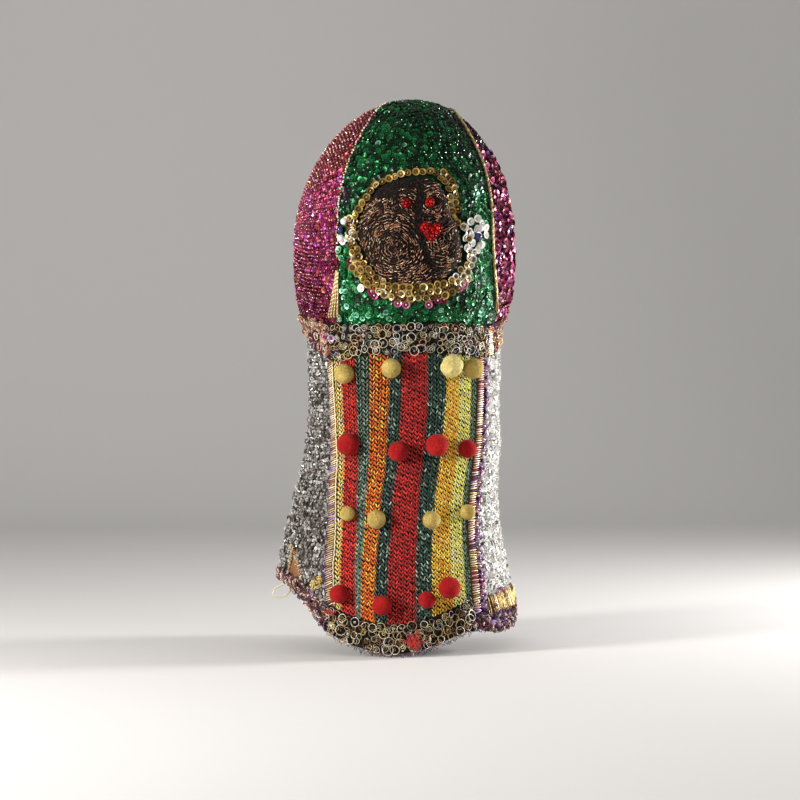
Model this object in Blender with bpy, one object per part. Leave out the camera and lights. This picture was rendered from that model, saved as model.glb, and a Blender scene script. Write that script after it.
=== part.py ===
"""A masquerade hood: a sequined cap with a stuffed face, over a crocheted and beaded skirt.

Lengths are metres. The front faces -Y, up is +Z, and the origin is where the crown of the
wearer's head bears against the inside of the cap. Angles go round the hood in degrees, from
0 at the middle of the front to 180 at the middle of the back, positive towards +X.
"""

import math

import bmesh
import bpy
from mathutils import Matrix, Vector
from mathutils.bvhtree import BVHTree


def table(names, *rows):
    """A table of named columns, a row for each section or fold, as a dictionary of columns."""
    return dict(zip(names.split(), zip(*rows)))


# The cap: outside sizes.
CAP_HEIGHT = 0.2265
BELLY_HEIGHT = 0.078
CAP_HALF_WIDTH = 0.108
CAP_HALF_DEPTH = 0.113
CAP_LEAN = 0.008
NECK_RISE = 0.012

# The skirt: outside sizes at the neck, and the length down the middle of the front.
SKIRT_LENGTH = 0.313
TUBE_HALF_WIDTH = 0.093
TUBE_HALF_DEPTH = 0.102

# The walls of cloth.
CAP_WALL = 0.003
CROCHET_WALL = 0.003
SIDE_WALL = 0.003
LINING_WALL = 0.0015

# Braids, cords and bindings laid on the cloth.
PIPING_DIAMETER = 0.0036
WEDGE_WIDTH = 0.0105
WEDGE_THICKNESS = 0.0018
BRAID_WIDTH = 0.010
BRAID_THICKNESS = 0.0026
BRAID_EDGE = 0.45
BAND_THICKNESS = 0.0024
NECK_BAND_HEIGHT = 0.025
NECK_BAND_LAP = 0.0025
HEM_BAND_HEIGHT = 0.027
BINDING_HEIGHT = 0.014
BINDING_THICKNESS = 0.0022
CORNER_HEIGHT = 0.018
CORNER_THICKNESS = 0.0045

# The face and the beads.
FACE_HALF_WIDTH = 0.048
FACE_HALF_HEIGHT = 0.050
FACE_SIDEWAYS = -0.0045
FACE_BELOW_TOP = 0.1365
FACE_RELIEF = 0.0115
FACE_EDGE = 0.14
RING_WIDTH = 0.0095
RING_THICKNESS = 0.0020
EYE_DIAMETER = 0.0086
MOUTH_WIDTH = 0.021
MOUTH_BACKING = 0.0012
MOUTH_DEPTH = 0.75
SIDE_BEAD_DIAMETER = 0.0075
BALL_DIAMETER = 0.0190

# Clearances: under a piece that lies on the cloth, under the neck bands, between cut edges,
# along the neck seam, behind the open corner, and at a braid's ends.
SEAT = 0.0005
BAND_SEAT = 0.0009
GAP = 0.0004
NECK_GAP = 0.0009
LINING_SEAT = 0.0014
END_GAP = 0.0012

NECK_Z = CAP_WALL - CAP_HEIGHT
BELLY_Z = NECK_Z + BELLY_HEIGHT
TOP_Z = CAP_WALL

# How far the cap has swollen from the neck's size (0) to its own (1), going up to the belly.
CAP_SWELL = table(
    "up swell",
    (0.00, 0.00),
    (0.05, 0.10),
    (0.13, 0.38),
    (0.28, 0.70),
    (0.48, 0.87),
    (0.75, 0.97),
    (1.00, 1.00),
)

# Sections of the skirt: the drop as a share of its length, the sides of the tube's half sizes.
SKIRT = table(
    "drop left right front back",
    (0.00, 1.02, 0.99, 1.00, 1.00),
    (0.11, 1.00, 1.01, 0.99, 1.00),
    (0.26, 0.99, 0.99, 0.98, 0.99),
    (0.34, 1.02, 1.01, 0.99, 0.99),
    (0.42, 1.05, 1.00, 1.01, 1.00),
    (0.50, 1.13, 0.98, 1.04, 1.02),
    (0.58, 1.19, 0.99, 1.06, 1.05),
    (0.66, 1.26, 1.02, 1.08, 1.09),
    (0.74, 1.31, 1.08, 1.10, 1.12),
    (0.82, 1.31, 1.12, 1.12, 1.14),
    (0.90, 1.30, 1.16, 1.13, 1.16),
    (1.00, 1.29, 1.17, 1.14, 1.17),
)

# The seam between cap and skirt: its rise at an angle, as a share of NECK_RISE.
NECK_LINE = table(
    "angle rise",
    (-180, 1.0),
    (-90, 1.0),
    (-70, 0.5),
    (-52, 0.0),
    (0, 0.0),
    (55, 0.0),
    (72, 0.6),
    (90, 1.0),
    (180, 1.0),
)

# The height of the bands on the neck seam, as a share of NECK_BAND_HEIGHT.
NECK_BANDS = table(
    "angle height",
    (-180, 0.80),
    (-95, 0.75),
    (-70, 1.05),
    (-54, 1.30),
    (-30, 1.08),
    (0, 1.00),
    (30, 1.05),
    (51, 1.16),
    (72, 1.05),
    (95, 0.85),
    (180, 0.80),
)

# The hem: its drop below the front of the neck as a share of SKIRT_LENGTH, and the bound
# edge's height as a share of BINDING_HEIGHT.
HEM = table(
    "angle drop binding",
    (-180, 0.87, 0.65),
    (-135, 0.83, 0.60),
    (-100, 0.79, 0.50),
    (-76, 0.79, 0.45),
    (-54, 0.86, 0.60),
    (-41, 0.945, 0.75),
    (-8, 1.0, 0.80),
    (33, 0.93, 0.95),
    (50, 0.94, 1.00),
    (71, 0.93, 1.00),
    (90, 0.895, 0.90),
    (135, 0.86, 0.70),
    (180, 0.87, 0.65),
)

# The open corner of the left side: how far down the cloth reaches from its back foot over its
# tip to its front foot, as a share of the length there.
VENT = table(
    "angle reach",
    (-81.0, 1.00),
    (-75.0, 0.92),
    (-69.0, 0.83),
    (-61.0, 0.91),
    (-53.5, 1.00),
)
LINING_ENDS = (-90.0, -47.0)
LINING_TOP = 0.76
INNER_LEG = 0.60

# The cap's long seams: sideways places as shares of the half width, at arch angles that rise
# from the front foot over the crest, at 90, to the back foot.
CAP_SEAMS = table(
    "arch left right",
    (-35, -0.64, 0.79),
    (0, -0.66, 0.72),
    (30, -0.645, 0.71),
    (53, -0.535, 0.645),
    (75, -0.30, 0.47),
    (90, -0.17, 0.42),
    (105, -0.26, 0.46),
    (127, -0.47, 0.58),
    (150, -0.58, 0.66),
    (180, -0.62, 0.70),
    (215, -0.60, 0.68),
)
ARCH_FOOT = 35.0
CREST_TURN = 70.0
TRIM_FOOT = 31.0
WEDGE_TIP = -10.0
WEDGE_POINT = 0.12

# The skirt's long seams in degrees, and the left braid's width as a share of BRAID_WIDTH.
SKIRT_SEAMS = table(
    "down left right left_width",
    (0.00, -54.5, 47.5, 0.50),
    (0.11, -54.4, 47.6, 0.50),
    (0.24, -53.5, 48.8, 0.55),
    (0.39, -49.5, 45.5, 0.75),
    (0.61, -43.5, 40.5, 1.00),
    (0.68, -41.5, 38.8, 1.05),
    (0.84, -40.5, 37.2, 1.05),
    (1.00, -40.0, 36.8, 1.00),
)
NECK_BAND_ENDS = (-54.0, 51.0)
HEM_BAND_ENDS = (-43.5, 30.5)
CORNER_ENDS = (43.5, 82.0)

# The face's outline: its radius in each direction, 0 to its right and 90 up.
FACE_OUTLINE = table(
    "turn radius",
    (0, 0.96),
    (30, 0.88),
    (60, 1.08),
    (90, 1.02),
    (120, 1.02),
    (150, 0.97),
    (180, 1.00),
    (210, 0.96),
    (240, 1.02),
    (270, 1.00),
    (300, 1.07),
    (330, 1.12),
    (360, 0.96),
)

# Mounds and creases of the face: place and spread as shares of its half sizes, rise of its relief.
FACE_FORMS = table(
    "across up spread_across spread_up rise",
    (-0.32, -0.27, 0.40, 0.48, 0.45),
    (0.74, -0.40, 0.20, 0.32, 0.32),
    (-0.08, 0.74, 0.16, 0.14, 0.12),
    (0.36, 0.80, 0.12, 0.12, 0.12),
    (0.40, 0.34, 0.11, 0.20, 0.16),
    (0.16, 0.50, 0.07, 0.42, -0.55),
    (0.34, -0.42, 0.10, 0.28, -0.55),
    (-0.66, 0.36, 0.14, 0.28, -0.16),
)

# The ring of gold sequins round the face: its width in each direction, of RING_WIDTH.
RING = table(
    "turn width",
    (0, 1.1),
    (40, 0.95),
    (90, 0.95),
    (140, 0.95),
    (180, 0.9),
    (210, 1.65),
    (240, 1.9),
    (270, 1.8),
    (300, 1.7),
    (330, 1.35),
    (360, 1.1),
)
RING_SCALLOPS = 32
RING_SCALLOP_DEPTH = 0.16

# Places on the face, as shares of its half sizes.
EYES = table(
    "name across up",
    ("eye_left", -0.08, 0.466),
    ("eye_right", 0.334, 0.494),
)
MOUTH = (0.311, -0.017)

# The three beads of the heart: place and size as shares of MOUTH_WIDTH.
MOUTH_BEADS = table(
    "across up size",
    (-0.21, 0.13, 0.54),
    (0.27, 0.08, 0.46),
    (-0.05, -0.25, 0.52),
)

# Beads beside the ring: their direction from the middle of the face, and how far they lie out
# from the ring's edge as a share of SIDE_BEAD_DIAMETER.
SIDE_BEADS = table(
    "name turn out",
    ("blue_bead_left", 177.5, 0.86),
    ("white_bead_left_upper", 170.5, 0.60),
    ("white_bead_left_lower", 184.8, 0.72),
    ("blue_bead_right", 357.1, 0.94),
    ("white_bead_right_upper", 3.8, 1.43),
    ("white_bead_right_lower", 350.4, 0.98),
)

# Balls on the crochet: across from its left edge and down from the neck, size of BALL_DIAMETER.
BALLS = table(
    "colour across down size",
    ("yellow", 0.133, 0.146, 1.00),
    ("yellow", 0.406, 0.127, 1.00),
    ("yellow", 0.734, 0.124, 1.16),
    ("yellow", 0.877, 0.134, 1.05),
    ("red", 0.140, 0.372, 1.15),
    ("red", 0.427, 0.385, 1.00),
    ("red", 0.644, 0.375, 1.15),
    ("red", 0.849, 0.400, 0.95),
    ("yellow", 0.127, 0.592, 0.76),
    ("yellow", 0.304, 0.594, 0.95),
    ("yellow", 0.622, 0.607, 0.90),
    ("yellow", 0.896, 0.612, 0.80),
    ("red", 0.081, 0.851, 0.95),
    ("red", 0.333, 0.854, 1.00),
    ("red", 0.588, 0.850, 0.85),
    ("red", 0.735, 0.835, 1.10),
)

# Where a bead's flattened back lies, and how wide that back is, as shares of its radius.
ROUND_BACK = 0.86
BACK_WIDTH = 0.51

# How finely the pieces are divided.
ARCH_STEPS = 11
CREST_STEPS = 9
CENTER_COLUMNS = 8
PIPING_STEPS = 32
NECK_ROWS = 4
SIDE_ROWS = 12
CROCHET_COLUMNS = 10
LEFT_COLUMNS = (10, 2)
RIGHT_COLUMNS = 12
LINING_COLUMNS = 6
NECK_BAND_COLUMNS = 14
BROCADE_COLUMNS = 26
HEM_BAND_COLUMNS = 20
BINDING_STEPS = 40
FACE_STEPS = 13
BALL_SIDES = 10
BALL_RINGS = 6
HALVINGS = 44

COLOURS = {
    "green": (0.01, 0.25, 0.07),
    "magenta": (0.45, 0.03, 0.16),
    "gold": (0.62, 0.45, 0.16),
    "cream": (0.75, 0.66, 0.42),
    "brown": (0.09, 0.045, 0.03),
    "red": (0.55, 0.015, 0.02),
    "yellow": (0.66, 0.55, 0.20),
    "blue": (0.03, 0.05, 0.45),
    "white": (0.85, 0.85, 0.82),
    "pink": (0.60, 0.36, 0.26),
    "silver": (0.72, 0.72, 0.74),
    "tan": (0.42, 0.24, 0.11),
    "purple": (0.16, 0.03, 0.15),
    "stripes": (0.50, 0.16, 0.05),
}


def along(columns, key, column, at):
    """A smooth curve through one column of a table, read at a value of its key column."""
    xs, ys = columns[key], columns[column]
    if at <= xs[0]:
        return ys[0]
    if at >= xs[-1]:
        return ys[-1]
    i = max(k for k in range(len(xs) - 1) if xs[k] <= at)

    def slope(k):
        before, after = max(k - 1, 0), min(k + 1, len(xs) - 1)
        return (ys[after] - ys[before]) / (xs[after] - xs[before])

    step = xs[i + 1] - xs[i]
    t = (at - xs[i]) / step
    rise = ys[i + 1] - ys[i]
    first, second = slope(i) * step, slope(i + 1) * step
    bend = 3 * rise - 2 * first - second
    return ys[i] + t * (first + t * (bend + t * (first + second - 2 * rise)))


def blend(a, b, t):
    return a + (b - a) * t


def turned(angle):
    """An angle brought between -180 and 180."""
    return angle if -180 <= angle <= 180 else (angle + 180) % 360 - 180


def section(z):
    """The hood's outside at a height: sideways shift, left, right, front and back half sizes."""
    if z >= BELLY_Z:
        up = min((z - BELLY_Z) / (TOP_Z - BELLY_Z), 1.0)
        size = math.sqrt(1.0 - up * up)
        width, depth = CAP_HALF_WIDTH * size, CAP_HALF_DEPTH * size
        return CAP_LEAN * up * up, width, width, depth, depth
    drop = (NECK_Z - z) / SKIRT_LENGTH
    tube = [TUBE_HALF_WIDTH * along(SKIRT, "drop", side, drop) for side in ("left", "right")]
    tube += [TUBE_HALF_DEPTH * along(SKIRT, "drop", side, drop) for side in ("front", "back")]
    if z > NECK_Z:
        swell = along(CAP_SWELL, "up", "swell", (z - NECK_Z) / BELLY_HEIGHT)
        cap = (CAP_HALF_WIDTH, CAP_HALF_WIDTH, CAP_HALF_DEPTH, CAP_HALF_DEPTH)
        tube = [blend(a, b, swell) for a, b in zip(tube, cap)]
    return 0.0, *tube


def outside(p):
    """Below 0 inside the hood's outer surface, 0 on it and above 0 outside it."""
    if p.z >= BELLY_Z:
        up = (p.z - BELLY_Z) / (TOP_Z - BELLY_Z)
        x = p.x - CAP_LEAN * min(up, 1.0) ** 2
        return (x / CAP_HALF_WIDTH) ** 2 + (p.y / CAP_HALF_DEPTH) ** 2 + up * up - 1.0
    shift, left, right, front, back = section(p.z)
    x = p.x - shift
    return (x / (left if x < 0 else right)) ** 2 + (p.y / (front if p.y < 0 else back)) ** 2 - 1.0


def normal(p):
    """The outward direction square to the hood's surface at a point."""
    step = 0.0002
    axes = (Vector((step, 0, 0)), Vector((0, step, 0)), Vector((0, 0, step)))
    return Vector([outside(p + a) - outside(p - a) for a in axes]).normalized()


def lifted(p, height):
    """A point of the surface moved outwards by a height."""
    return p + height * normal(p)


def around(angle, z):
    """The surface point at an angle round the hood and a height."""
    shift, left, right, front, back = section(z)
    x, y = math.sin(math.radians(angle)), -math.cos(math.radians(angle))
    return Vector((shift + x * (left if x < 0 else right), y * (front if y < 0 else back), z))


def degrees_of(length, angle, z):
    """The degrees round the hood that a short length takes up."""
    return length / (around(angle + 0.5, z) - around(angle - 0.5, z)).length


def front_point(x, z, back=False):
    """The surface point on the front, or the back, at a sideways place and a height."""
    shift, left, right, front, rear = section(z)
    side = (x - shift) / (left if x < shift else right)
    y = math.sqrt(max(1.0 - side * side, 0.0))
    return Vector((x, rear * y if back else -front * y, z))


def reach(start, direction):
    """Where a ray from inside the cap meets its surface."""
    near, far = 0.0, 2 * (CAP_HALF_WIDTH + CAP_HALF_DEPTH)
    for _ in range(HALVINGS):
        middle = (near + far) / 2
        if outside(start + middle * direction) < 0:
            near = middle
        else:
            far = middle
    return start + near * direction


def neck(angle):
    """The height of the seam between cap and skirt."""
    return NECK_Z + NECK_RISE * along(NECK_LINE, "angle", "rise", turned(angle))


def neck_band_foot(angle):
    """The height of the lower edge of the bands round the neck."""
    return neck(angle) - NECK_BAND_HEIGHT * along(NECK_BANDS, "angle", "height", turned(angle))


def hem(angle):
    """The height of the skirt's lower edge."""
    return NECK_Z - SKIRT_LENGTH * along(HEM, "angle", "drop", turned(angle))


def binding_height(angle):
    return BINDING_HEIGHT * along(HEM, "angle", "binding", turned(angle))


def trim_top(angle):
    """The height of the top of what edges the hem, where the long braids end."""
    if HEM_BAND_ENDS[0] <= angle <= HEM_BAND_ENDS[1]:
        return hem(angle) + HEM_BAND_HEIGHT
    return hem(angle) + binding_height(angle)


def over_cap(x, arch):
    """The cap's surface where the upright plane at x meets an arch angle, 90 at the crest."""
    if 0 <= arch <= 180:
        turn = math.radians(arch)
        return reach(Vector((x, 0, BELLY_Z)), Vector((0, -math.cos(turn), math.sin(turn))))
    back = arch > 180
    _, left, right, _, _ = section(NECK_Z)
    side = math.degrees(math.asin(max(min(x / (left if x < 0 else right), 1.0), -1.0)))
    foot = neck(180 - side if back else side) + NECK_GAP / 2
    low = (arch - 180 if back else -arch) / ARCH_FOOT
    return front_point(x, blend(BELLY_Z, foot, low), back)


def cap_seam(side, arch, inset=0.0):
    """A point of the cap's left or right seam, moved towards the middle by an inset."""
    x = CAP_HALF_WIDTH * along(CAP_SEAMS, "arch", side, arch)
    return over_cap(x + (inset if side == "left" else -inset), arch)


def arches():
    """The arch angles from the front foot to the back one, closer together over the crest."""
    rise = [blend(-ARCH_FOOT, CREST_TURN, i / ARCH_STEPS) for i in range(ARCH_STEPS + 1)]
    crest = [blend(CREST_TURN, 180 - CREST_TURN, i / CREST_STEPS) for i in range(1, CREST_STEPS)]
    return rise + crest + [180 - a for a in reversed(rise)]


def shares(steps, start=0.0, end=1.0):
    return [blend(start, end, i / steps) for i in range(steps + 1)]


def skirt_rows():
    """The shares down the skirt at which its panels are divided, closer under the neck seam."""
    neck_share = 2 * NECK_RISE / SKIRT_LENGTH
    return shares(NECK_ROWS, 0.0, neck_share) + shares(SIDE_ROWS, neck_share, 1.0)[1:]


def skirt_seam(side, down):
    """The angle of a long seam of the skirt at a share of its length."""
    return along(SKIRT_SEAMS, "down", side, down)


def skirt_seam_at(side, z):
    """The angle of a long seam of the skirt at a height."""
    top, low = neck(skirt_seam(side, 0.0)), hem(skirt_seam(side, 1.0))
    return skirt_seam(side, (top - z) / (top - low))


def on_panel(left, right, across, down, foot=1.0):
    """The skirt's surface at shares across and down a panel whose edges are left(down) and
    right(down), in degrees; foot is how far the panel reaches down to the hem."""
    top = neck(blend(left(0.0), right(0.0), across)) - NECK_GAP / 2
    low = hem(blend(left(1.0), right(1.0), across))
    down *= foot
    return around(blend(left(down), right(down), across), blend(top, low, down))


def crochet_edges():
    """The crochet's two edges in degrees, half a gap inside the long seams."""
    margin = degrees_of(GAP / 2, 0.0, NECK_Z)
    return (
        lambda down: skirt_seam("left", down) + margin,
        lambda down: skirt_seam("right", down) - margin,
    )


def face_point(across, up):
    """The cap's surface at a place on the face, in shares of the face's half sizes."""
    x = FACE_SIDEWAYS + FACE_HALF_WIDTH * across
    return front_point(x, TOP_Z - FACE_BELOW_TOP + FACE_HALF_HEIGHT * up)


def face_outline(turn):
    return along(FACE_OUTLINE, "turn", "radius", turn % 360)


def face_radius(across, up):
    """0 at the middle of the face and 1 on its outline."""
    return math.hypot(across, up) / face_outline(math.degrees(math.atan2(up, across)))


def face_seats():
    """What is sewn into the face: place across and up, and half size."""
    eyes = [(x, y, EYE_DIAMETER / 2) for x, y in zip(EYES["across"], EYES["up"])]
    return eyes + [(*MOUTH, MOUTH_WIDTH / 2)]


def face_height(across, up):
    """How high the stuffed face stands over the cap, with a level seat under each bead."""
    seats = [(x, y, size, bare_face_height(x, y)) for x, y, size in face_seats()]
    height = bare_face_height(across, up)
    for x, y, size, level in seats:
        away = math.hypot((across - x) * FACE_HALF_WIDTH, (up - y) * FACE_HALF_HEIGHT)
        cell = 2 * FACE_HALF_HEIGHT / FACE_STEPS
        hold = max(min((size + 2 * cell - away) / cell, 1.0), 0.0)
        height = blend(height, level, hold)
    return height


def bare_face_height(across, up):
    """The height of the face's stuffing: a low dome with its mounds and creases."""
    dome = math.sqrt(max(1.0 - face_radius(across, up) ** 3, 0.0))
    height = 1.0
    for x, y, wide, tall, rise in zip(*FACE_FORMS.values()):
        height += rise * math.exp(-(((across - x) / wide) ** 2) - ((up - y) / tall) ** 2)
    return FACE_RELIEF * (FACE_EDGE + (1 - FACE_EDGE) * dome * height)


def material(name, colour, roughness, metallic):
    made = bpy.data.materials.new(name)
    made.use_nodes = True
    shader = made.node_tree.nodes["Principled BSDF"]
    shader.inputs["Base Color"].default_value = (*COLOURS[colour], 1)
    shader.inputs["Roughness"].default_value = roughness
    shader.inputs["Metallic"].default_value = metallic
    return made


def piece(name, bm, colour, roughness=0.7, metallic=0.0):
    """Makes a closed bmesh one named object with its own material, on the hood's empty."""
    bmesh.ops.recalc_face_normals(bm, faces=bm.faces[:])
    if bm.calc_volume(signed=True) < 0:
        bmesh.ops.reverse_faces(bm, faces=bm.faces[:])
    mesh = bpy.data.meshes.new(name)
    bm.to_mesh(mesh)
    bm.free()
    mesh.shade_smooth()
    mesh.set_sharp_from_angle(angle=math.radians(50))
    mesh.materials.append(material(name, colour, roughness, metallic))
    made = bpy.data.objects.new(name, mesh)
    bpy.context.scene.collection.objects.link(made)
    made.parent = bpy.data.objects["hood"]
    return made


def wall(across, down, place, low, high, closed=False):
    """A closed wall on the hood: place(across, down) gives its points on the surface, at each
    of the shares listed, and low and high its two heights over it, or functions of the shares.
    A closed wall goes all the way round, so that its last column is its first."""
    columns, rows = len(across) - 1, len(down) - 1
    bm = bmesh.new()
    bmesh.ops.create_grid(bm, x_segments=columns, y_segments=rows, size=0.5)
    made = bmesh.ops.extrude_face_region(bm, geom=bm.faces[:])
    far = {g for g in made["geom"] if isinstance(g, bmesh.types.BMVert)}
    if closed:
        ends = [f for f in bm.faces if abs(f.calc_center_median().x) > 0.5 - 1e-4]
        bmesh.ops.delete(bm, geom=ends, context="FACES_ONLY")
    for v in bm.verts:
        u = across[round((v.co.x + 0.5) * columns)]
        w = down[round((0.5 - v.co.y) * rows)]
        height = high if v in far else low
        v.co = lifted(place(u, w), height(u, w) if callable(height) else height)
    if closed:
        bmesh.ops.remove_doubles(bm, verts=bm.verts[:], dist=1e-6)
    return bm


def swept(stations, profile):
    """A bound edge: profile(station) gives a closed loop of points, joined from one station to
    the next and capped at both ends."""
    bm = bmesh.new()
    loops = [[bm.verts.new(p) for p in profile(s)] for s in stations]
    for one, two in zip(loops, loops[1:]):
        for i in range(len(one)):
            j = (i + 1) % len(one)
            bm.faces.new((one[i], one[j], two[j], two[i]))
    bm.faces.new(loops[0])
    bm.faces.new(loops[-1])
    return bm


def crowned(thickness, share):
    """The height of a braid's upper side, thin at its edges (0 and 1) and full in its middle."""
    return SEAT + thickness * blend(BRAID_EDGE, 1.0, math.sin(math.pi * share))


def bearing(p, outward, radius, targets):
    """How high over a surface point the pieces named lie, within a radius of it."""
    side = outward.orthogonal().normalized()
    above = p + outward * 2 * BALL_DIAMETER
    turns = [math.radians(60 * i) for i in range(6)]
    starts = [above] + [above + radius * (side @ Matrix.Rotation(t, 3, outward)) for t in turns]
    heights = []
    for target in targets:
        mesh = bpy.data.objects[target].data
        corners = [v.co for v in mesh.vertices]
        tree = BVHTree.FromPolygons(corners, [f.vertices for f in mesh.polygons])
        hits = [tree.ray_cast(start, -outward)[0] for start in starts]
        heights += [(hit - p).dot(outward) for hit in hits if hit]
    return max(heights)


def cap_center_panel():
    """The green strip over the middle of the cap, from the front of the neck to the back."""

    def place(across, down):
        sides = [cap_seam(side, down, inset=GAP / 2).x for side in ("left", "right")]
        left, right = [math.asin(x / CAP_HALF_WIDTH) for x in sides]
        return over_cap(CAP_HALF_WIDTH * math.sin(blend(left, right, across)), down)

    bm = wall(shares(CENTER_COLUMNS), arches(), place, -CAP_WALL, 0.0)
    piece("crown_center_panel", bm, "green", 0.35)


def cap_side_panel(side):
    """A side of the cap: a patch between the seam's front, crest and back and the neck edge."""
    centre = Vector((0, 0, BELLY_Z))
    stations = arches()
    front, crest = stations[: ARCH_STEPS + 1], stations[ARCH_STEPS : ARCH_STEPS + CREST_STEPS + 1]

    def seam(arch):
        return cap_seam(side, arch, inset=-GAP / 2)

    def seam_foot(arch):
        p = seam(arch)
        _, left, right, _, _ = section(p.z)
        angle = math.degrees(math.asin(p.x / (left if p.x < 0 else right)))
        return angle if arch < 90 else math.copysign(180, angle) - angle

    first, last = seam_foot(-ARCH_FOOT), seam_foot(180 + ARCH_FOOT)

    def place(across, down):
        i, j = round(across * CREST_STEPS), round(down * ARCH_STEPS)
        angle = blend(first, last, across)
        edges = (around(angle, neck(angle) + NECK_GAP / 2), seam(crest[i]))
        sides = (seam(front[j]), seam(180 - front[j]))
        if j in (0, ARCH_STEPS):
            return edges[j > 0] if 0 < i < CREST_STEPS else sides[i > 0]
        if i in (0, CREST_STEPS):
            return sides[i > 0]
        corners = blend(seam(front[0]), seam(180 - front[0]), across)
        corners = blend(corners, blend(seam(front[-1]), seam(180 - front[-1]), across), down)
        p = blend(*edges, down) + blend(*sides, across) - corners
        return reach(centre, (p - centre).normalized())

    bm = wall(shares(CREST_STEPS), shares(ARCH_STEPS), place, -CAP_WALL, 0.0)
    piece(f"crown_{side}_panel", bm, "magenta", 0.35)


def cap_trims():
    """The gold cord on the right seam, and the ribbed wedge at the foot of the left one."""
    curve = bpy.data.curves.new("crown_piping_right", "CURVE")
    curve.dimensions = "3D"
    curve.bevel_depth = PIPING_DIAMETER / 2
    curve.bevel_resolution = 1
    curve.use_fill_caps = True
    stations = shares(PIPING_STEPS, -TRIM_FOOT, 180 + TRIM_FOOT)
    line = curve.splines.new("POLY")
    line.points.add(len(stations) - 1)
    for point, arch in zip(line.points, stations):
        point.co = (*lifted(cap_seam("right", arch), SEAT + PIPING_DIAMETER / 2), 1)
    curve.materials.append(material("crown_piping_right", "gold", 0.4, 0.7))
    made = bpy.data.objects.new("crown_piping_right", curve)
    bpy.context.scene.collection.objects.link(made)
    made.parent = bpy.data.objects["hood"]

    def wedge(across, down):
        arch = blend(WEDGE_TIP, -TRIM_FOOT, down)
        x = cap_seam("left", arch).x
        return over_cap(x - WEDGE_WIDTH * blend(WEDGE_POINT, 1.0, down) * across, arch)

    def top(across, _):
        return crowned(WEDGE_THICKNESS, across)

    bm = wall(shares(3), shares(5), wedge, SEAT, top)
    piece("crown_wedge_left", bm, "cream", 0.5, 0.4)


def bead(name, p, diameter, colour, targets, roughness=0.7):
    """A ball or bead with a flattened back, seated over a surface point on the pieces named."""
    outward = normal(p)
    bm = bmesh.new()
    radius = diameter / 2
    bmesh.ops.create_uvsphere(bm, u_segments=BALL_SIDES, v_segments=BALL_RINGS, radius=radius)
    for v in bm.verts:
        v.co.z = max(v.co.z, -ROUND_BACK * radius)
    made = piece(name, bm, colour, roughness)
    height = bearing(p, outward, BACK_WIDTH * radius, targets)
    made.location = p + outward * (height + SEAT + ROUND_BACK * radius)
    made.rotation_euler = outward.to_track_quat("Z", "Y").to_euler()
    return made


def face():
    """The stuffed face with its bead eyes and heart of beads."""

    def disc(across, down):
        x, y = 2 * across - 1, 1 - 2 * down
        x, y = x * math.sqrt(1 - y * y / 2), y * math.sqrt(1 - x * x / 2)
        size = face_outline(math.degrees(math.atan2(y, x)))
        return x * size, y * size

    bm = wall(
        shares(FACE_STEPS),
        shares(FACE_STEPS),
        lambda across, down: face_point(*disc(across, down)),
        SEAT,
        lambda across, down: SEAT + face_height(*disc(across, down)),
    )
    piece("face_pad", bm, "brown", 0.6, 0.2)

    for name, across, up in zip(*EYES.values()):
        bead(name, face_point(across, up), EYE_DIAMETER, "red", ["face_pad"], roughness=0.15)
    mouth()


def mouth():
    """The heart: three beads on a small backing, joined into one body."""
    x0, y0 = MOUTH
    floor = 2 * SEAT + face_height(x0, y0)

    def spot(across, up):
        """A point under the heart, in shares of its width."""
        x = x0 + across * MOUTH_WIDTH / FACE_HALF_WIDTH
        return face_point(x, y0 + up * MOUTH_WIDTH / FACE_HALF_HEIGHT)

    def backing(across, down):
        x, y = across - 0.5, 0.5 - down
        return spot(0.7 * x, 0.6 * y * (1 - abs(x)))

    plate = wall(shares(4), shares(2), backing, floor, floor + MOUTH_BACKING)
    made = piece("mouth_beads", plate, "red", 0.15)

    bm = bmesh.new()
    for across, up, size in zip(*MOUTH_BEADS.values()):
        radius = size * MOUTH_WIDTH / 2
        new = bmesh.ops.create_uvsphere(bm, u_segments=10, v_segments=BALL_RINGS, radius=radius)
        bmesh.ops.scale(bm, verts=new["verts"], vec=Vector((1, MOUTH_DEPTH, 1)))
        middle = lifted(spot(across, up), floor + MOUTH_DEPTH * radius)
        bmesh.ops.translate(bm, verts=new["verts"], vec=middle)
    beads = piece("mouth_beads_to_join", bm, "red")
    beads.hide_render = True
    beads.display_type = "WIRE"
    union = made.modifiers.new("beads", "BOOLEAN")
    union.operation = "UNION"
    union.object = beads
    union.use_self = True


def beside_face(turn, out):
    """The cap's surface outside the face's outline, in a direction from its middle."""
    radius = face_outline(turn)
    x, y = math.cos(math.radians(turn)), math.sin(math.radians(turn))
    grow = 2 * GAP + out
    return face_point(x * (radius + grow / FACE_HALF_WIDTH), y * (radius + grow / FACE_HALF_HEIGHT))


def ring_width(turn):
    return RING_WIDTH * along(RING, "turn", "width", turn % 360)


def face_ring():
    """The ring of cup sequins round the face, one band with a scalloped edge."""

    def place(across, down):
        scallop = RING_SCALLOP_DEPTH * (round(across * 2 * RING_SCALLOPS) % 2)
        width = ring_width(360 * across) * (1 - scallop * (1 - down))
        return beside_face(360 * across, width * (1 - down))

    across = shares(2 * RING_SCALLOPS)
    bm = wall(across, shares(1), place, SEAT, SEAT + RING_THICKNESS, closed=True)
    piece("face_ring", bm, "gold", 0.3, 0.8)


def side_beads():
    panels = ["crown_center_panel", "crown_left_panel", "crown_right_panel"]
    for name, turn, out in zip(*SIDE_BEADS.values()):
        p = beside_face(turn, ring_width(turn) + out * SIDE_BEAD_DIAMETER)
        bead(name, p, SIDE_BEAD_DIAMETER, name.split("_")[0], panels, roughness=0.15)


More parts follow.
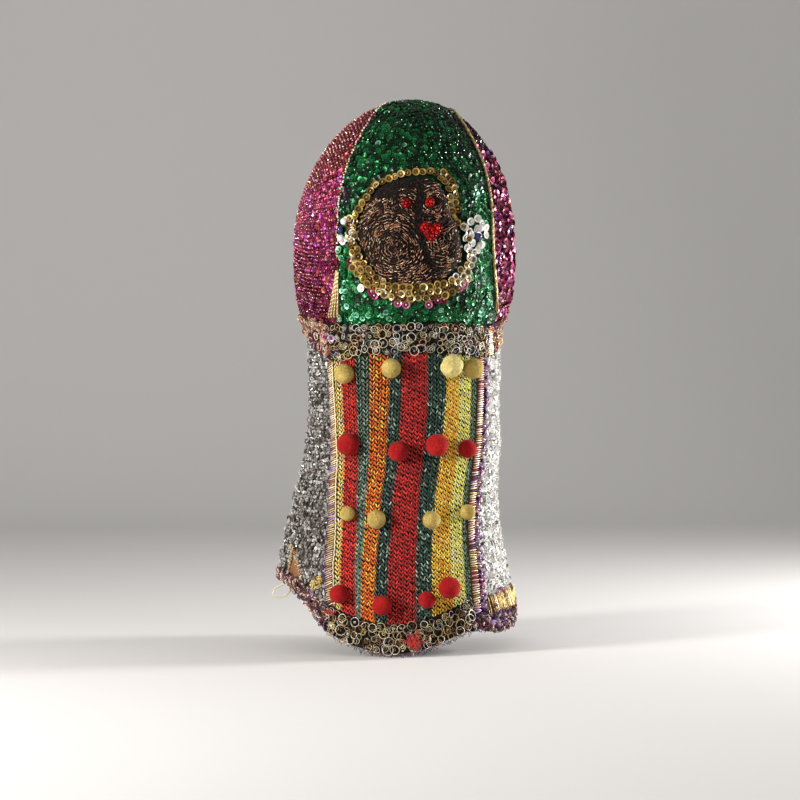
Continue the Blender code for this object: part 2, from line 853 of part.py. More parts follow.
def neck_bands():
    """The gold loop braid round the front of the neck, and the brocade round the rest."""

    def band(start, end):
        def place(across, down):
            angle = blend(start, end, across)
            return around(angle, blend(neck(angle) + NECK_BAND_LAP, neck_band_foot(angle), down))

        return place

    gap = degrees_of(GAP, NECK_BAND_ENDS[0], NECK_Z)
    left, right = NECK_BAND_ENDS
    low, high = BAND_SEAT, BAND_SEAT + BAND_THICKNESS
    bm = wall(shares(NECK_BAND_COLUMNS), shares(3), band(left, right), low, high)
    piece("neck_band_front", bm, "gold", 0.4, 0.7)
    back = band(right + gap, left + 360 - gap)
    bm = wall(shares(BROCADE_COLUMNS), shares(3), back, low, high)
    piece("neck_band_back", bm, "pink", 0.5, 0.4)


def skirt():
    """The crocheted front, the two beaded sides, and the lining in the open left corner."""
    down = skirt_rows()
    left_edge, right_edge = crochet_edges()

    def crochet(across, share):
        return on_panel(left_edge, right_edge, across, share)

    bm = wall(shares(CROCHET_COLUMNS), down, crochet, -CROCHET_WALL, 0.0)
    piece("crochet_panel", bm, "stripes")

    margin = degrees_of(GAP / 2, 180.0, NECK_Z)

    def left_start(_):
        return -180 + margin

    def left_end(share):
        return skirt_seam("left", share) - margin

    def share_at(angle):
        return (angle - left_start(1.0)) / (left_end(1.0) - left_start(1.0))

    vent = {share_at(angle): reach for angle, reach in zip(*VENT.values())}

    def left_side(across, share):
        return on_panel(left_start, left_end, across, share, vent.get(across, 1.0))

    behind, before = LEFT_COLUMNS
    stations = shares(behind, 0.0, min(vent))[:-1] + list(vent) + shares(before, max(vent), 1.0)[1:]
    piece("side_panel_left", wall(stations, down, left_side, -SIDE_WALL, 0.0), "silver", 0.3)

    def right_start(share):
        return skirt_seam("right", share) + margin

    def right_side(across, share):
        return on_panel(right_start, lambda _: 180 - margin, across, share)

    bm = wall(shares(RIGHT_COLUMNS), down, right_side, -SIDE_WALL, 0.0)
    piece("side_panel_right", bm, "silver", 0.3)

    def lining(across, share):
        angle = blend(*LINING_ENDS, across)
        top = blend(neck(angle), hem(angle), LINING_TOP)
        low = hem(angle) + INNER_LEG * binding_height(angle) + GAP
        return around(angle, blend(top, low, share))

    under = -SIDE_WALL - LINING_SEAT
    bm = wall(shares(LINING_COLUMNS), shares(3), lining, under - LINING_WALL, under)
    piece("lining_left", bm, "tan")


def long_braid(name, angle_at, shift, width_at, colour):
    """A braid down a long seam, from the neck band's foot to the hem's trimming."""

    def angle(across, z):
        start = angle_at(z)
        width = degrees_of(width_at(z), start, z)
        return start + (shift + across) * width

    def place(across, down):
        top = neck_band_foot(angle(across, NECK_Z)) - END_GAP
        foot_angle = angle(across, hem(angle_at(NECK_Z - SKIRT_LENGTH)))
        low = trim_top(foot_angle) + END_GAP
        z = blend(top, low, down)
        return around(angle(across, z), z)

    def top(across, _):
        return crowned(BRAID_THICKNESS, across)

    piece(name, wall(shares(2), shares(SIDE_ROWS), place, SEAT, top), colour, 0.5, 0.5)


def braids():
    def left_width(z):
        top, low = neck(skirt_seam("left", 0.0)), hem(skirt_seam("left", 1.0))
        share = (top - z) / (top - low)
        return BRAID_WIDTH * along(SKIRT_SEAMS, "down", "left_width", share)

    def full_width(_):
        return BRAID_WIDTH - GAP

    def left(z):
        return skirt_seam_at("left", z)

    def right(z):
        return skirt_seam_at("right", z)

    part = GAP / (2 * BRAID_WIDTH)
    long_braid("braid_left", left, -0.5, left_width, "gold")
    long_braid("braid_right_inner", right, -1.0 - part, full_width, "pink")
    long_braid("braid_right_outer", right, part, full_width, "purple")
    long_braid("braid_back", lambda _: 180.0, -0.5, full_width, "purple")


def hem_trims():
    """The gold braid at the front hem, the block at the right corner, and the bound edge."""

    def band(across, down):
        angle = blend(*HEM_BAND_ENDS, across)
        return around(angle, blend(hem(angle) + HEM_BAND_HEIGHT, hem(angle), down))

    bm = wall(shares(HEM_BAND_COLUMNS), shares(2), band, SEAT, SEAT + BAND_THICKNESS)
    piece("hem_band_front", bm, "gold", 0.4, 0.7)

    def corner(across, down):
        angle = blend(*CORNER_ENDS, across)
        low = hem(angle) + binding_height(angle) + GAP
        return around(angle, blend(low + CORNER_HEIGHT, low, down))

    def top(_, down):
        return crowned(CORNER_THICKNESS, down)

    piece("hem_corner_right", wall(shares(5), shares(3), corner, SEAT, top), "cream", 0.5, 0.3)

    gap = degrees_of(GAP, HEM_BAND_ENDS[0], NECK_Z)
    start, end = HEM_BAND_ENDS[1] + gap, 360 + HEM_BAND_ENDS[0] - gap
    outer, inner = SEAT, -SIDE_WALL - LINING_SEAT - LINING_WALL - SEAT

    def profile(angle):
        z = hem(angle)
        tall = binding_height(angle)
        below = -NECK_GAP - BINDING_THICKNESS
        outline = (
            (outer, tall),
            (outer + BINDING_THICKNESS, tall),
            (outer + BINDING_THICKNESS, below / 2),
            (outer, below),
            (inner, below),
            (inner - BINDING_THICKNESS, below / 2),
            (inner - BINDING_THICKNESS, INNER_LEG * tall),
            (inner, INNER_LEG * tall),
            (inner, -NECK_GAP),
            (outer, -NECK_GAP),
        )
        edge = around(angle, z)
        out = normal(edge)
        return [edge + out * away + Vector((0, 0, up)) for away, up in outline]

    piece("hem_binding", swept(shares(BINDING_STEPS, start, end), profile), "purple", 0.6, 0.2)


def balls():
    """Four rows of cloth balls sewn to the crochet, yellow and red in turn."""
    left_edge, right_edge = crochet_edges()
    under = ["crochet_panel", "braid_left", "braid_right_inner", "braid_right_outer"]
    for i, (colour, across, down, size) in enumerate(zip(*BALLS.values()), start=1):
        p = on_panel(left_edge, right_edge, across, down)
        bead(f"ball_{i}", p, BALL_DIAMETER * size, colour, under, roughness=0.9)


def build():
    for old in list(bpy.data.objects):
        bpy.data.objects.remove(old)
    bpy.context.scene.collection.objects.link(bpy.data.objects.new("hood", None))
    cap_center_panel()
    cap_side_panel("left")
    cap_side_panel("right")
    cap_trims()
    face()
    face_ring()
    side_beads()
    neck_bands()
    skirt()
    braids()
    hem_trims()
    balls()


build()
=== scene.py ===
"""The looks of a masquerade hood: sequins, crochet, metal-thread scrolls, beads and cloth balls.

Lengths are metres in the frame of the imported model: the front faces -Y and +Z is up. Places that
were read off the photograph are given in its own frame of 800 by 800 and laid on the cloth there.
"""

import math

import bmesh
import bpy
import numpy as np
from mathutils import Matrix, Vector, noise
from mathutils.bvhtree import BVHTree


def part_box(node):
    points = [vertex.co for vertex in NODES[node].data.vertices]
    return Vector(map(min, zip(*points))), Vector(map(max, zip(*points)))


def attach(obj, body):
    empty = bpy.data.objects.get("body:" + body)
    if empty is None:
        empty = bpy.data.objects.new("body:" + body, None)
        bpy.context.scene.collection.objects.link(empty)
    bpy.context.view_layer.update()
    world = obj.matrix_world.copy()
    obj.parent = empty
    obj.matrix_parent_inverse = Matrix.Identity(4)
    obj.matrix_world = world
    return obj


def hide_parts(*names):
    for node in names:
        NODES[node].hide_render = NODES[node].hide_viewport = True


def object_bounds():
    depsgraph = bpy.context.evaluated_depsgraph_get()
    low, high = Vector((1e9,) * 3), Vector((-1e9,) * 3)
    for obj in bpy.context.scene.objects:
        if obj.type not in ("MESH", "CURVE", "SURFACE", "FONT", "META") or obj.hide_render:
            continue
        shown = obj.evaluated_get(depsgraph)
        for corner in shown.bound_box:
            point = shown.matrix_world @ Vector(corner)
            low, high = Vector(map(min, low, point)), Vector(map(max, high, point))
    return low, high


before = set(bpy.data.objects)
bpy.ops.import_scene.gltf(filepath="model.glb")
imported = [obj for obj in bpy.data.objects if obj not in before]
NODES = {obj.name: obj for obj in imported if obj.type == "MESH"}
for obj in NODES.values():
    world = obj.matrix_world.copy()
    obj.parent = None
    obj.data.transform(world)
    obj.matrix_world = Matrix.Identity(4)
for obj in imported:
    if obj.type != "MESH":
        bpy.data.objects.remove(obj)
CAD_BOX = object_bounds()
CHANCE = np.random.default_rng(11)

# The photograph's view of the hood.
PICTURE = 800
VIEW_TURN = math.radians(-5.7)
VIEW_RISE = math.radians(0.6)
VIEW_DISTANCE = 2.6
VIEW_TARGET = Vector((-0.0035, 0.0, -0.2955))
LENS, SENSOR = 117.0, 36.0

# The studio: how wide it is, how far behind the hood its floor bends up, that bend's radius, how far
# the wall goes on above it, and how far the floor lies below the solids.
STUDIO_WIDE = 40.0
WALL_Y = 2.0
WALL_BEND = 1.5
WALL_HIGH = 4.0
FLOOR_DROP = 0.004

# Places worked out from the frame.
CROWN_LOW, CROWN_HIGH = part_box("crown_center_panel")
CAP_HEART = Vector((0, 0, CROWN_LOW.z + 0.345 * (CROWN_HIGH.z - CROWN_LOW.z)))
PANEL_LOW, PANEL_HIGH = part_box("crochet_panel")
NECK_Z = PANEL_HIGH.z
HEM_Z = PANEL_LOW.z
WELD = 0.00002
OUTSIDE = 0.30
CAP_RADIUS = 0.118
CAP_LONG_RADIUS = 0.125
SKIRT_RADIUS = 0.104

# Sizes of what is sewn on: across a sequin, bead or loop, and between rows of them.
GREEN_SEQUIN = 0.0058
MAGENTA_SEQUIN = 0.0050
SILVER_SEQUIN = 0.0042
RING_SEQUIN = 0.0080
GREEN_PITCH = 0.0046
MAGENTA_PITCH = 0.0040
SILVER_PITCH = 0.0037
RING_CUP = 0.0078
RING_CUP_PITCH = 0.0085
SEED_BEAD = 0.0016
SEQUIN_LIFT = 0.0008

# The crochet: how wide a column of stitches is, how tall a stitch, and how thick its yarn.
WALE = 0.0056
STITCH_PITCH = 0.0042
YARN = 0.00135

# Colours, as a screen shows them.
COLOURS = {
    "bottle": (3, 46, 20),
    "emerald": (9, 104, 48),
    "mint": (136, 224, 176),
    "aubergine": (48, 20, 44),
    "rust": (120, 34, 40),
    "copper": (170, 94, 62),
    "magenta": (134, 22, 78),
    "violet": (118, 38, 130),
    "pink": (230, 120, 170),
    "wine": (84, 14, 38),
    "gold": (176, 142, 68),
    "pale_gold": (206, 182, 118),
    "ochre": (112, 86, 38),
    "cream": (230, 216, 178),
    "bronze": (116, 80, 40),
    "silver": (190, 188, 184),
    "steel": (152, 149, 146),
    "ash": (112, 108, 102),
    "slate": (78, 74, 68),
    "white": (244, 243, 238),
    "mist": (136, 156, 140),
    "pitch": (26, 16, 12),
    "lilac": (190, 160, 208),
    "purple": (74, 28, 82),
    "yellow": (255, 206, 104),
    "scarlet": (208, 50, 38),
    "sage": (88, 112, 94),
    "orange": (222, 102, 30),
    "spruce": (46, 74, 62),
    "crimson": (170, 36, 34),
    "amber": (255, 174, 50),
    "lime": (255, 240, 112),
    "teal": (100, 134, 112),
    "khaki": (158, 134, 68),
    "straw": (196, 172, 98),
    "primrose": (214, 204, 138),
    "ball_red": (138, 12, 22),
    "raspberry": (172, 34, 30),
    "tan": (172, 122, 82),
    "soot": (16, 11, 9),
    "ink": (17, 12, 14),
    "chestnut": (96, 60, 42),
    "brass_thread": (190, 142, 112),
    "blush": (222, 176, 172),
    "umber": (58, 34, 24),
    "navy": (20, 26, 104),
    "bead_red": (116, 2, 4),
    "flame": (186, 14, 8),
}


def linear(name):
    """A named colour as linear light."""
    shares = [c / 255 for c in COLOURS[name]]
    return [c / 12.92 if c <= 0.04045 else ((c + 0.055) / 1.055) ** 2.4 for c in shares]


# View: camera, floor and light


def camera():
    away = Vector((
        math.sin(VIEW_TURN) * math.cos(VIEW_RISE),
        -math.cos(VIEW_TURN) * math.cos(VIEW_RISE),
        math.sin(VIEW_RISE),
    ))
    lens = bpy.data.cameras.new("camera")
    lens.lens, lens.sensor_width = LENS, SENSOR
    made = bpy.data.objects.new("camera", lens)
    made.location = VIEW_TARGET + VIEW_DISTANCE * away
    made.rotation_euler = (-away).to_track_quat("-Z", "Y").to_euler()
    bpy.context.scene.collection.objects.link(made)
    bpy.context.scene.camera = made
    bpy.context.view_layer.update()
    return made


CAMERA = camera()


def sight(x, y):
    """The ray from the camera through a place of the photograph: start and direction."""
    reach = PICTURE * LENS / SENSOR
    direction = Vector((x - PICTURE / 2, PICTURE / 2 - y, -reach))
    return CAMERA.matrix_world.translation, (CAMERA.matrix_world.to_3x3() @ direction).normalized()


def in_air(x, y, depth):
    """The point on a sight line at a depth behind the hood's axis."""
    start, direction = sight(x, y)
    return start + direction * ((depth - start.y) / direction.y)


def light(name, angle, height, distance, size, power, colour=(1, 1, 1)):
    """An area light at an angle round the hood, aimed at its middle."""
    lamp = bpy.data.lights.new(name, "AREA")
    lamp.shape, lamp.size, lamp.energy, lamp.color = "DISK", size, power, colour
    made = bpy.data.objects.new(name, lamp)
    turn = math.radians(angle)
    place = Vector((math.sin(turn) * distance, -math.cos(turn) * distance, height))
    made.location = VIEW_TARGET + place
    made.rotation_euler = (-place).to_track_quat("-Z", "Y").to_euler()
    made.visible_camera = False
    bpy.context.scene.collection.objects.link(made)


def studio():
    """A pale floor that curves up into a wall, soft light from both sides and a pale room."""
    bm = bmesh.new()
    floor = CAD_BOX[0][2] - FLOOR_DROP
    bend = bm.verts.new((0, WALL_Y, floor))
    bm.edges.new((bm.verts.new((0, -STUDIO_WIDE / 2, floor)), bend))
    sweep = bmesh.ops.spin(
        bm, geom=[bend], cent=(0, WALL_Y, floor + WALL_BEND), axis=(1, 0, 0), angle=math.pi / 2, steps=12
    )
    top = [g for g in sweep["geom_last"] if isinstance(g, bmesh.types.BMVert)]
    wall = bmesh.ops.extrude_vert_indiv(bm, verts=top)
    bmesh.ops.translate(bm, verts=wall["verts"], vec=(0, 0, WALL_HIGH))
    bmesh.ops.translate(bm, verts=bm.verts, vec=(-STUDIO_WIDE / 2, 0, 0))
    side = bmesh.ops.extrude_edge_only(bm, edges=bm.edges[:])
    moved = [g for g in side["geom"] if isinstance(g, bmesh.types.BMVert)]
    bmesh.ops.translate(bm, verts=moved, vec=(STUDIO_WIDE, 0, 0))
    bmesh.ops.recalc_face_normals(bm, faces=bm.faces)
    mesh = bpy.data.meshes.new("floor")
    bm.to_mesh(mesh)
    bm.free()
    mesh.shade_smooth()
    made = bpy.data.objects.new("floor", mesh)
    bpy.context.scene.collection.objects.link(made)
    paint, _, shader = finish("floor_paper", roughness=0.9)
    shader.inputs["Base Color"].default_value = (0.72, 0.71, 0.70, 1)
    mesh.materials.append(paint)
    world = bpy.data.worlds.new("studio")
    world.use_nodes = True
    world.node_tree.nodes["Background"].inputs["Color"].default_value = (1.0, 0.985, 0.97, 1)
    world.node_tree.nodes["Background"].inputs["Strength"].default_value = 0.36
    bpy.context.scene.world = world
    light("key_left", -58, 0.32, 1.7, 0.42, 37, (1.0, 0.97, 0.93))
    light("key_right", 98, 0.14, 1.5, 0.45, 40, (1.0, 0.98, 0.96))
    light("fill_front", -10, 1.1, 2.4, 1.2, 6)


# Materials


def finish(name, roughness, metallic=0.0, **sockets):
    """A material with one Principled shader: the material, its node tree and the shader."""
    made = bpy.data.materials.new(name)
    made.use_nodes = True
    shader = made.node_tree.nodes["Principled BSDF"]
    shader.inputs["Roughness"].default_value = roughness
    shader.inputs["Metallic"].default_value = metallic
    for socket, value in sockets.items():
        shader.inputs[socket.replace("_", " ")].default_value = value
    return made, made.node_tree, shader


def attribute(tree, name):
    """A mesh attribute, such as the tint of each thing that is sewn on."""
    node = tree.nodes.new("ShaderNodeAttribute")
    node.attribute_name = name
    return node


def coordinates(tree, scale=(1, 1, 1)):
    """Object coordinates through a Mapping node."""
    place = tree.nodes.new("ShaderNodeTexCoord")
    mapping = tree.nodes.new("ShaderNodeMapping")
    mapping.inputs["Scale"].default_value = scale
    tree.links.new(place.outputs["Object"], mapping.inputs["Vector"])
    return mapping.outputs["Vector"]


def noise_of(tree, scale, detail=3.0):
    """Noise over the hood, finer the higher its scale."""
    node = tree.nodes.new("ShaderNodeTexNoise")
    node.inputs["Scale"].default_value = scale
    node.inputs["Detail"].default_value = detail
    tree.links.new(coordinates(tree), node.inputs["Vector"])
    return node.outputs["Fac"]


def spread(tree, factor, low, high):
    """A noise factor spread between two values."""
    node = tree.nodes.new("ShaderNodeMapRange")
    node.inputs["From Min"].default_value = 0.3
    node.inputs["From Max"].default_value = 0.7
    node.inputs["To Min"].default_value = low
    node.inputs["To Max"].default_value = high
    tree.links.new(factor, node.inputs["Value"])
    return node.outputs["Result"]


def mixed(tree, blend, factor, first, second):
    """Two colours mixed: each a socket or a constant, and the factor a socket or a number."""
    node = tree.nodes.new("ShaderNodeMix")
    node.data_type, node.blend_type = "RGBA", blend
    for socket, value in ((node.inputs[0], factor), (node.inputs[6], first), (node.inputs[7], second)):
        if isinstance(value, bpy.types.NodeSocket):
            tree.links.new(value, socket)
        elif socket.type == "RGBA":
            socket.default_value = (*value, 1)
        else:
            socket.default_value = value
    return node.outputs[2]


def bumped(tree, shader, height, strength, distance):
    node = tree.nodes.new("ShaderNodeBump")
    node.inputs["Strength"].default_value = strength
    node.inputs["Distance"].default_value = distance
    tree.links.new(height, node.inputs["Height"])
    tree.links.new(node.outputs["Normal"], shader.inputs["Normal"])


# Painted shade in each kind of sequin's cup: how bright it is from its rim, at 0, to its middle, at 1, as
# (place, shade) pairs.
FILM_CUP_SHADE = ((0.0, 1.0), (0.3, 0.8), (0.62, 0.32), (1.0, 0.10))
GREEN_CUP_SHADE = ((0.0, 1.0), (0.16, 1.0), (0.28, 0.42), (0.7, 0.38), (1.0, 0.12))
SILVER_CUP_SHADE = ((0.0, 1.0), (0.4, 0.9), (0.75, 0.7), (1.0, 0.5))
WHITE_CUP_SHADE = ((0.0, 1.0), (0.5, 1.0), (0.75, 0.7), (1.0, 0.35))
GOLD_CUP_SHADE = ((0.0, 1.0), (0.25, 0.85), (0.46, 0.26), (1.0, 0.08))
RED_CUP_SHADE = ((0.0, 1.0), (0.3, 0.6), (0.6, 0.35), (1.0, 0.25))


def film(name, roughness=0.26, metallic=0.6, rings=FILM_CUP_SHADE, coat=0.12, specular=0.3):
    """Metallized film: each sequin in its own tint, bright at its rim and darker in its cup, which is painted
    shade.
    """
    made, tree, shader = finish(
        name, roughness, metallic, Coat_Weight=coat, Coat_Roughness=0.2, Specular_IOR_Level=specular
    )
    ramp = tree.nodes.new("ShaderNodeValToRGB")
    stops = ramp.color_ramp.elements
    for place, shade in rings:
        stop = stops[0] if place == 0 else stops[-1] if place == 1 else stops.new(place)
        stop.color = (shade, shade, shade, 1)
    tree.links.new(attribute(tree, "middle").outputs["Fac"], ramp.inputs["Fac"])
    tint = attribute(tree, "tint").outputs["Color"]
    colour = mixed(tree, "MULTIPLY", 1.0, tint, ramp.outputs["Color"])
    tree.links.new(colour, shader.inputs["Base Color"])
    rough = spread(tree, noise_of(tree, 300), roughness - 0.08, roughness + 0.16)
    tree.links.new(rough, shader.inputs["Roughness"])
    return made


def grain(name, roughness=0.18, transmission=0.0, coat=0.7, specular=0.5):
    """Seed beads in their own tints: glossy glass with a little unevenness."""
    made, tree, shader = finish(
        name, roughness, 0.0, Transmission_Weight=transmission, Coat_Weight=coat, Coat_Roughness=0.06,
        Specular_IOR_Level=specular,
    )
    tint = attribute(tree, "tint").outputs["Color"]
    shade = spread(tree, noise_of(tree, 700), 0.8, 1.1)
    tree.links.new(mixed(tree, "MULTIPLY", 1.0, tint, shade), shader.inputs["Base Color"])
    return made


def yarn(name, roughness=0.85, fuzz=0.5, metallic=0.0, sheen=0.25):
    """Spun thread in its own tint, with fine fibres over it."""
    made, tree, shader = finish(
        name, roughness, metallic, Sheen_Weight=sheen, Sheen_Roughness=0.5, Specular_IOR_Level=0.25
    )
    tint = attribute(tree, "tint").outputs["Color"]
    shade = spread(tree, noise_of(tree, 900, 4.0), 0.5, 1.25)
    tree.links.new(mixed(tree, "MULTIPLY", 1.0, tint, shade), shader.inputs["Base Color"])
    bumped(tree, shader, noise_of(tree, 2200, 3.0), fuzz, 0.0004)
    return made


def woven(name, colour, second, pitch, roughness=0.85):
    """Plain woven cloth: two crossed sets of threads, worn unevenly."""
    made, tree, shader = finish(name, roughness, Sheen_Weight=0.02, Specular_IOR_Level=0.12)
    waves = []
    for direction in ("X", "Z"):
        wave = tree.nodes.new("ShaderNodeTexWave")
        wave.bands_direction = direction
        wave.inputs["Scale"].default_value = 1 / (pitch * 2 * math.pi)
        wave.inputs["Distortion"].default_value = 0.6
        tree.links.new(coordinates(tree), wave.inputs["Vector"])
        waves.append(wave.outputs["Fac"])
    height = tree.nodes.new("ShaderNodeMath")
    height.operation = "MULTIPLY"
    tree.links.new(waves[0], height.inputs[0])
    tree.links.new(waves[1], height.inputs[1])
    worn = mixed(tree, "MIX", noise_of(tree, 35, 5.0), linear(colour), linear(second))
    shade = spread(tree, height.outputs[0], 0.75, 1.1)
    tree.links.new(mixed(tree, "MULTIPLY", 1.0, worn, shade), shader.inputs["Base Color"])
    bumped(tree, shader, height.outputs[0], 0.6, 0.0004)
    return made


def felt(name, colour, second):
    """Felted jersey: short fibres, uneven dye and a soft nap."""
    made, tree, shader = finish(name, 0.95, Sheen_Weight=0.03, Specular_IOR_Level=0.1)
    patches = spread(tree, noise_of(tree, 90, 5.0), 0.0, 1.0)
    dye = mixed(tree, "MIX", patches, linear(colour), linear(second))
    shade = spread(tree, noise_of(tree, 800, 4.0), 0.6, 1.15)
    tree.links.new(mixed(tree, "MULTIPLY", 1.0, dye, shade), shader.inputs["Base Color"])
    bumped(tree, shader, noise_of(tree, 520, 5.0), 0.9, 0.0012)
    return made


MATERIALS = {}


def build_materials():
    MATERIALS.update(
        green_film=film("green_film", 0.30, 0.5, GREEN_CUP_SHADE, 0.06),
        magenta_film=film("magenta_film", 0.28, 0.6),
        silver_film=film("silver_film", 0.4, 0.15, SILVER_CUP_SHADE),
        white_film=film("white_film", 0.4, 0.0, WHITE_CUP_SHADE),
        gold_film=film("gold_film", 0.26, 0.55, GOLD_CUP_SHADE),
        red_film=film("red_film", 0.42, 0.1, RED_CUP_SHADE, 0.0, 0.08),
        red_glass=grain("red_glass", 0.22, 0.0, 0.12, 0.2),
        beads=grain("beads"),
        clear_beads=grain("clear_beads", 0.12, 0.25),
        wool=yarn("wool", sheen=0.08),
        metal_thread=yarn("metal_thread", 0.38, 0.3, 0.55, 0.1),
        soft_thread=yarn("soft_thread", 0.6, 0.4, 0.1),
        green_cloth=woven("green_cloth", "bottle", "soot", 0.0006),
        wine_cloth=woven("wine_cloth", "wine", "soot", 0.0006),
        grey_cloth=woven("grey_cloth", "steel", "ash", 0.0006),
        # Painted shade: the left silver side's cloth, darker than the right side's.
        pewter_cloth=woven("pewter_cloth", "slate", "umber", 0.0006),
        # Painted shade: the dark ground under the crochet, standing for the shade in its holes.
        dark_cloth=woven("dark_cloth", "soot", "ink", 0.0008),
        band_cloth=woven("band_cloth", "soot", "pitch", 0.0006),
        brocade_cloth=woven("brocade_cloth", "umber", "wine", 0.0006),
        purple_cloth=woven("purple_cloth", "purple", "soot", 0.0006),
        rib_cloth=woven("rib_cloth", "umber", "bronze", 0.0006),
        tan_cloth=woven("tan_cloth", "tan", "chestnut", 0.0007),
        face_knit=woven("face_knit", "soot", "pitch", 0.0012),
        yellow_felt=felt("yellow_felt", "khaki", "straw"),
        torn_felt=felt("torn_felt", "straw", "primrose"),
        red_felt=felt("red_felt", "ball_red", "raspberry"),
    )


# The soft CAD nodes as smooth cloth


def corners_of(mesh):
    """A mesh's corners, one to a row."""
    corners = np.empty(len(mesh.vertices) * 3)
    mesh.vertices.foreach_get("co", corners)
    return corners.reshape(-1, 3)


def smoothed(mesh, levels):
    """A mesh subdivided smoothly. Its own corners come first in the result."""
    cage = bpy.data.objects.new("cage", mesh)
    bpy.context.scene.collection.objects.link(cage)
    finer = cage.modifiers.new("finer", "SUBSURF")
    finer.levels = finer.render_levels = levels
    made = bpy.data.meshes.new_from_object(cage.evaluated_get(bpy.context.evaluated_depsgraph_get()))
    bpy.data.objects.remove(cage)
    return made


def tree_of(mesh):
    return BVHTree.FromPolygons([v.co for v in mesh.vertices], [p.vertices for p in mesh.polygons])


# What each soft node is made of, and how finely it is smoothed.
CLOTHS = {
    "crown_center_panel": ("green_cloth", 1),
    "crown_left_panel": ("wine_cloth", 1),
    "crown_right_panel": ("wine_cloth", 1),
    # The crochet's ground is painted dark, as the shade in the stitches' holes.
    "crochet_panel": ("dark_cloth", 1),
    # The left side's cloth is darker than the right side's: painted shade.
    "side_panel_left": ("pewter_cloth", 1),
    "side_panel_right": ("grey_cloth", 1),
    "lining_left": ("tan_cloth", 2),
    "neck_band_front": ("band_cloth", 2),
    "neck_band_back": ("brocade_cloth", 1),
    "hem_band_front": ("band_cloth", 2),
    "braid_left": ("rib_cloth", 2),
    "braid_right_inner": ("rib_cloth", 2),
    "braid_right_outer": ("purple_cloth", 2),
    "braid_back": ("purple_cloth", 2),
    "hem_corner_right": ("rib_cloth", 2),
    "hem_binding": ("purple_cloth", 1),
    "crown_wedge_left": ("rib_cloth", 2),
    "face_pad": ("face_knit", 2),
}
RIM_ANGLE = 50.0
SURFACES = {}


def soft_piece(name):
    """A soft CAD node as a smooth piece that passes through the node's own corners."""
    material, levels = CLOTHS[name]
    bm = bmesh.new()
    bm.from_mesh(NODES[name].data)
    bmesh.ops.remove_doubles(bm, verts=bm.verts, dist=WELD)
    bmesh.ops.join_triangles(
        bm, faces=bm.faces, angle_face_threshold=math.radians(40), angle_shape_threshold=math.radians(60)
    )
    crease = bm.edges.layers.float.new("crease_edge")
    for edge in bm.edges:
        if edge.calc_face_angle(0.0) > math.radians(RIM_ANGLE):
            edge[crease] = 0.8
    mesh = bpy.data.meshes.new("cage")
    bm.to_mesh(mesh)
    bm.free()
    rest = corners_of(mesh)
    cage = rest.copy()
    for _ in range(3):
        cage += rest - corners_of(smoothed(mesh, levels))[: len(rest)]
        mesh.vertices.foreach_set("co", cage.ravel())
        mesh.update()
    cloth = smoothed(mesh, levels)
    cloth.name = f"{name}_cloth"
    cloth.shade_smooth()
    cloth.materials.clear()
    cloth.materials.append(MATERIALS[material])
    SURFACES[name] = tree_of(cloth)
    made = bpy.data.objects.new(f"{name}_cloth", cloth)
    bpy.context.scene.collection.objects.link(made)
    return keep(made, [name])


class Ground:
    """What lies outermost at each place of the hood, and its smooth surface."""

    def __init__(self):
        corners, faces, self.owners = [], [], []
        for name in list(CLOTHS) + ["face_ring", "crown_piping_right"]:
            mesh = NODES[name].data
            first = len(corners)
            corners += [v.co.copy() for v in mesh.vertices]
            faces += [[first + i for i in p.vertices] for p in mesh.polygons]
            self.owners += [name] * len(mesh.polygons)
        self.tree = BVHTree.FromPolygons(corners, faces)

    def owner(self, heart, direction):
        """The node met first when coming in towards a place inside the hood."""
        _, _, face, _ = self.tree.ray_cast(heart + direction * OUTSIDE, -direction, OUTSIDE)
        return None if face is None else self.owners[face]

    def meet(self, name, heart, direction):
        """A piece's outer surface in a direction from inside the hood: point and normal."""
        point, normal, _, _ = SURFACES[name].ray_cast(heart + direction * OUTSIDE, -direction, OUTSIDE)
        return None if point is None or normal.dot(direction) <= 0 else (point, normal)

    def around(self, name, angle, z):
        turn = math.radians(angle)
        return self.meet(name, Vector((0, 0, z)), Vector((math.sin(turn), -math.cos(turn), 0)))

    def seen(self, name, x, y):
        """The place of a piece seen at a place of the photograph: point and normal."""
        start, direction = sight(x, y)
        point, normal, _, _ = SURFACES[name].ray_cast(start, direction, VIEW_DISTANCE)
        return None if point is None or normal.dot(direction) >= 0 else (point, normal)


GROUND = Ground()


def side_on(angle):
    """The level direction at an angle round the hood, from 0 at the front."""
    turn = math.radians(angle)
    return Vector((math.sin(turn), -math.cos(turn), 0))


def level(p):
    """The level direction from the hood's axis out through a point."""
    return Vector((p[0], p[1], 0)).normalized()


class Band:
    """A node that runs round the hood: places by share along it and share down it."""

    def __init__(self, name, low, high, steps=90):
        self.name = name
        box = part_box(name)
        tree = tree_of(NODES[name].data)
        angles, tops, feet = [], [], []
        for angle in np.linspace(low, high, steps):
            hits = []
            for z in np.arange(box[0].z, box[1].z, 0.0006):
                start = Vector((0, 0, z)) + side_on(angle) * OUTSIDE
                if tree.ray_cast(start, -side_on(angle), OUTSIDE)[0]:
                    hits.append(z)
            if hits:
                angles.append(angle)
                tops.append(max(hits))
                feet.append(min(hits))
        self.angles, self.tops, self.feet = np.array(angles), np.array(tops), np.array(feet)

    def at(self, along, down):
        angle = self.angles[0] + along * (self.angles[-1] - self.angles[0])
        top = np.interp(angle, self.angles, self.tops)
        foot = np.interp(angle, self.angles, self.feet)
        return GROUND.around(self.name, angle, top + down * (foot - top))

    def length(self):
        points = [self.at(s, 0.5) for s in np.linspace(0.01, 0.99, 60)]
        points = [p[0] for p in points if p]
        return sum((b - a).length for a, b in zip(points, points[1:]))


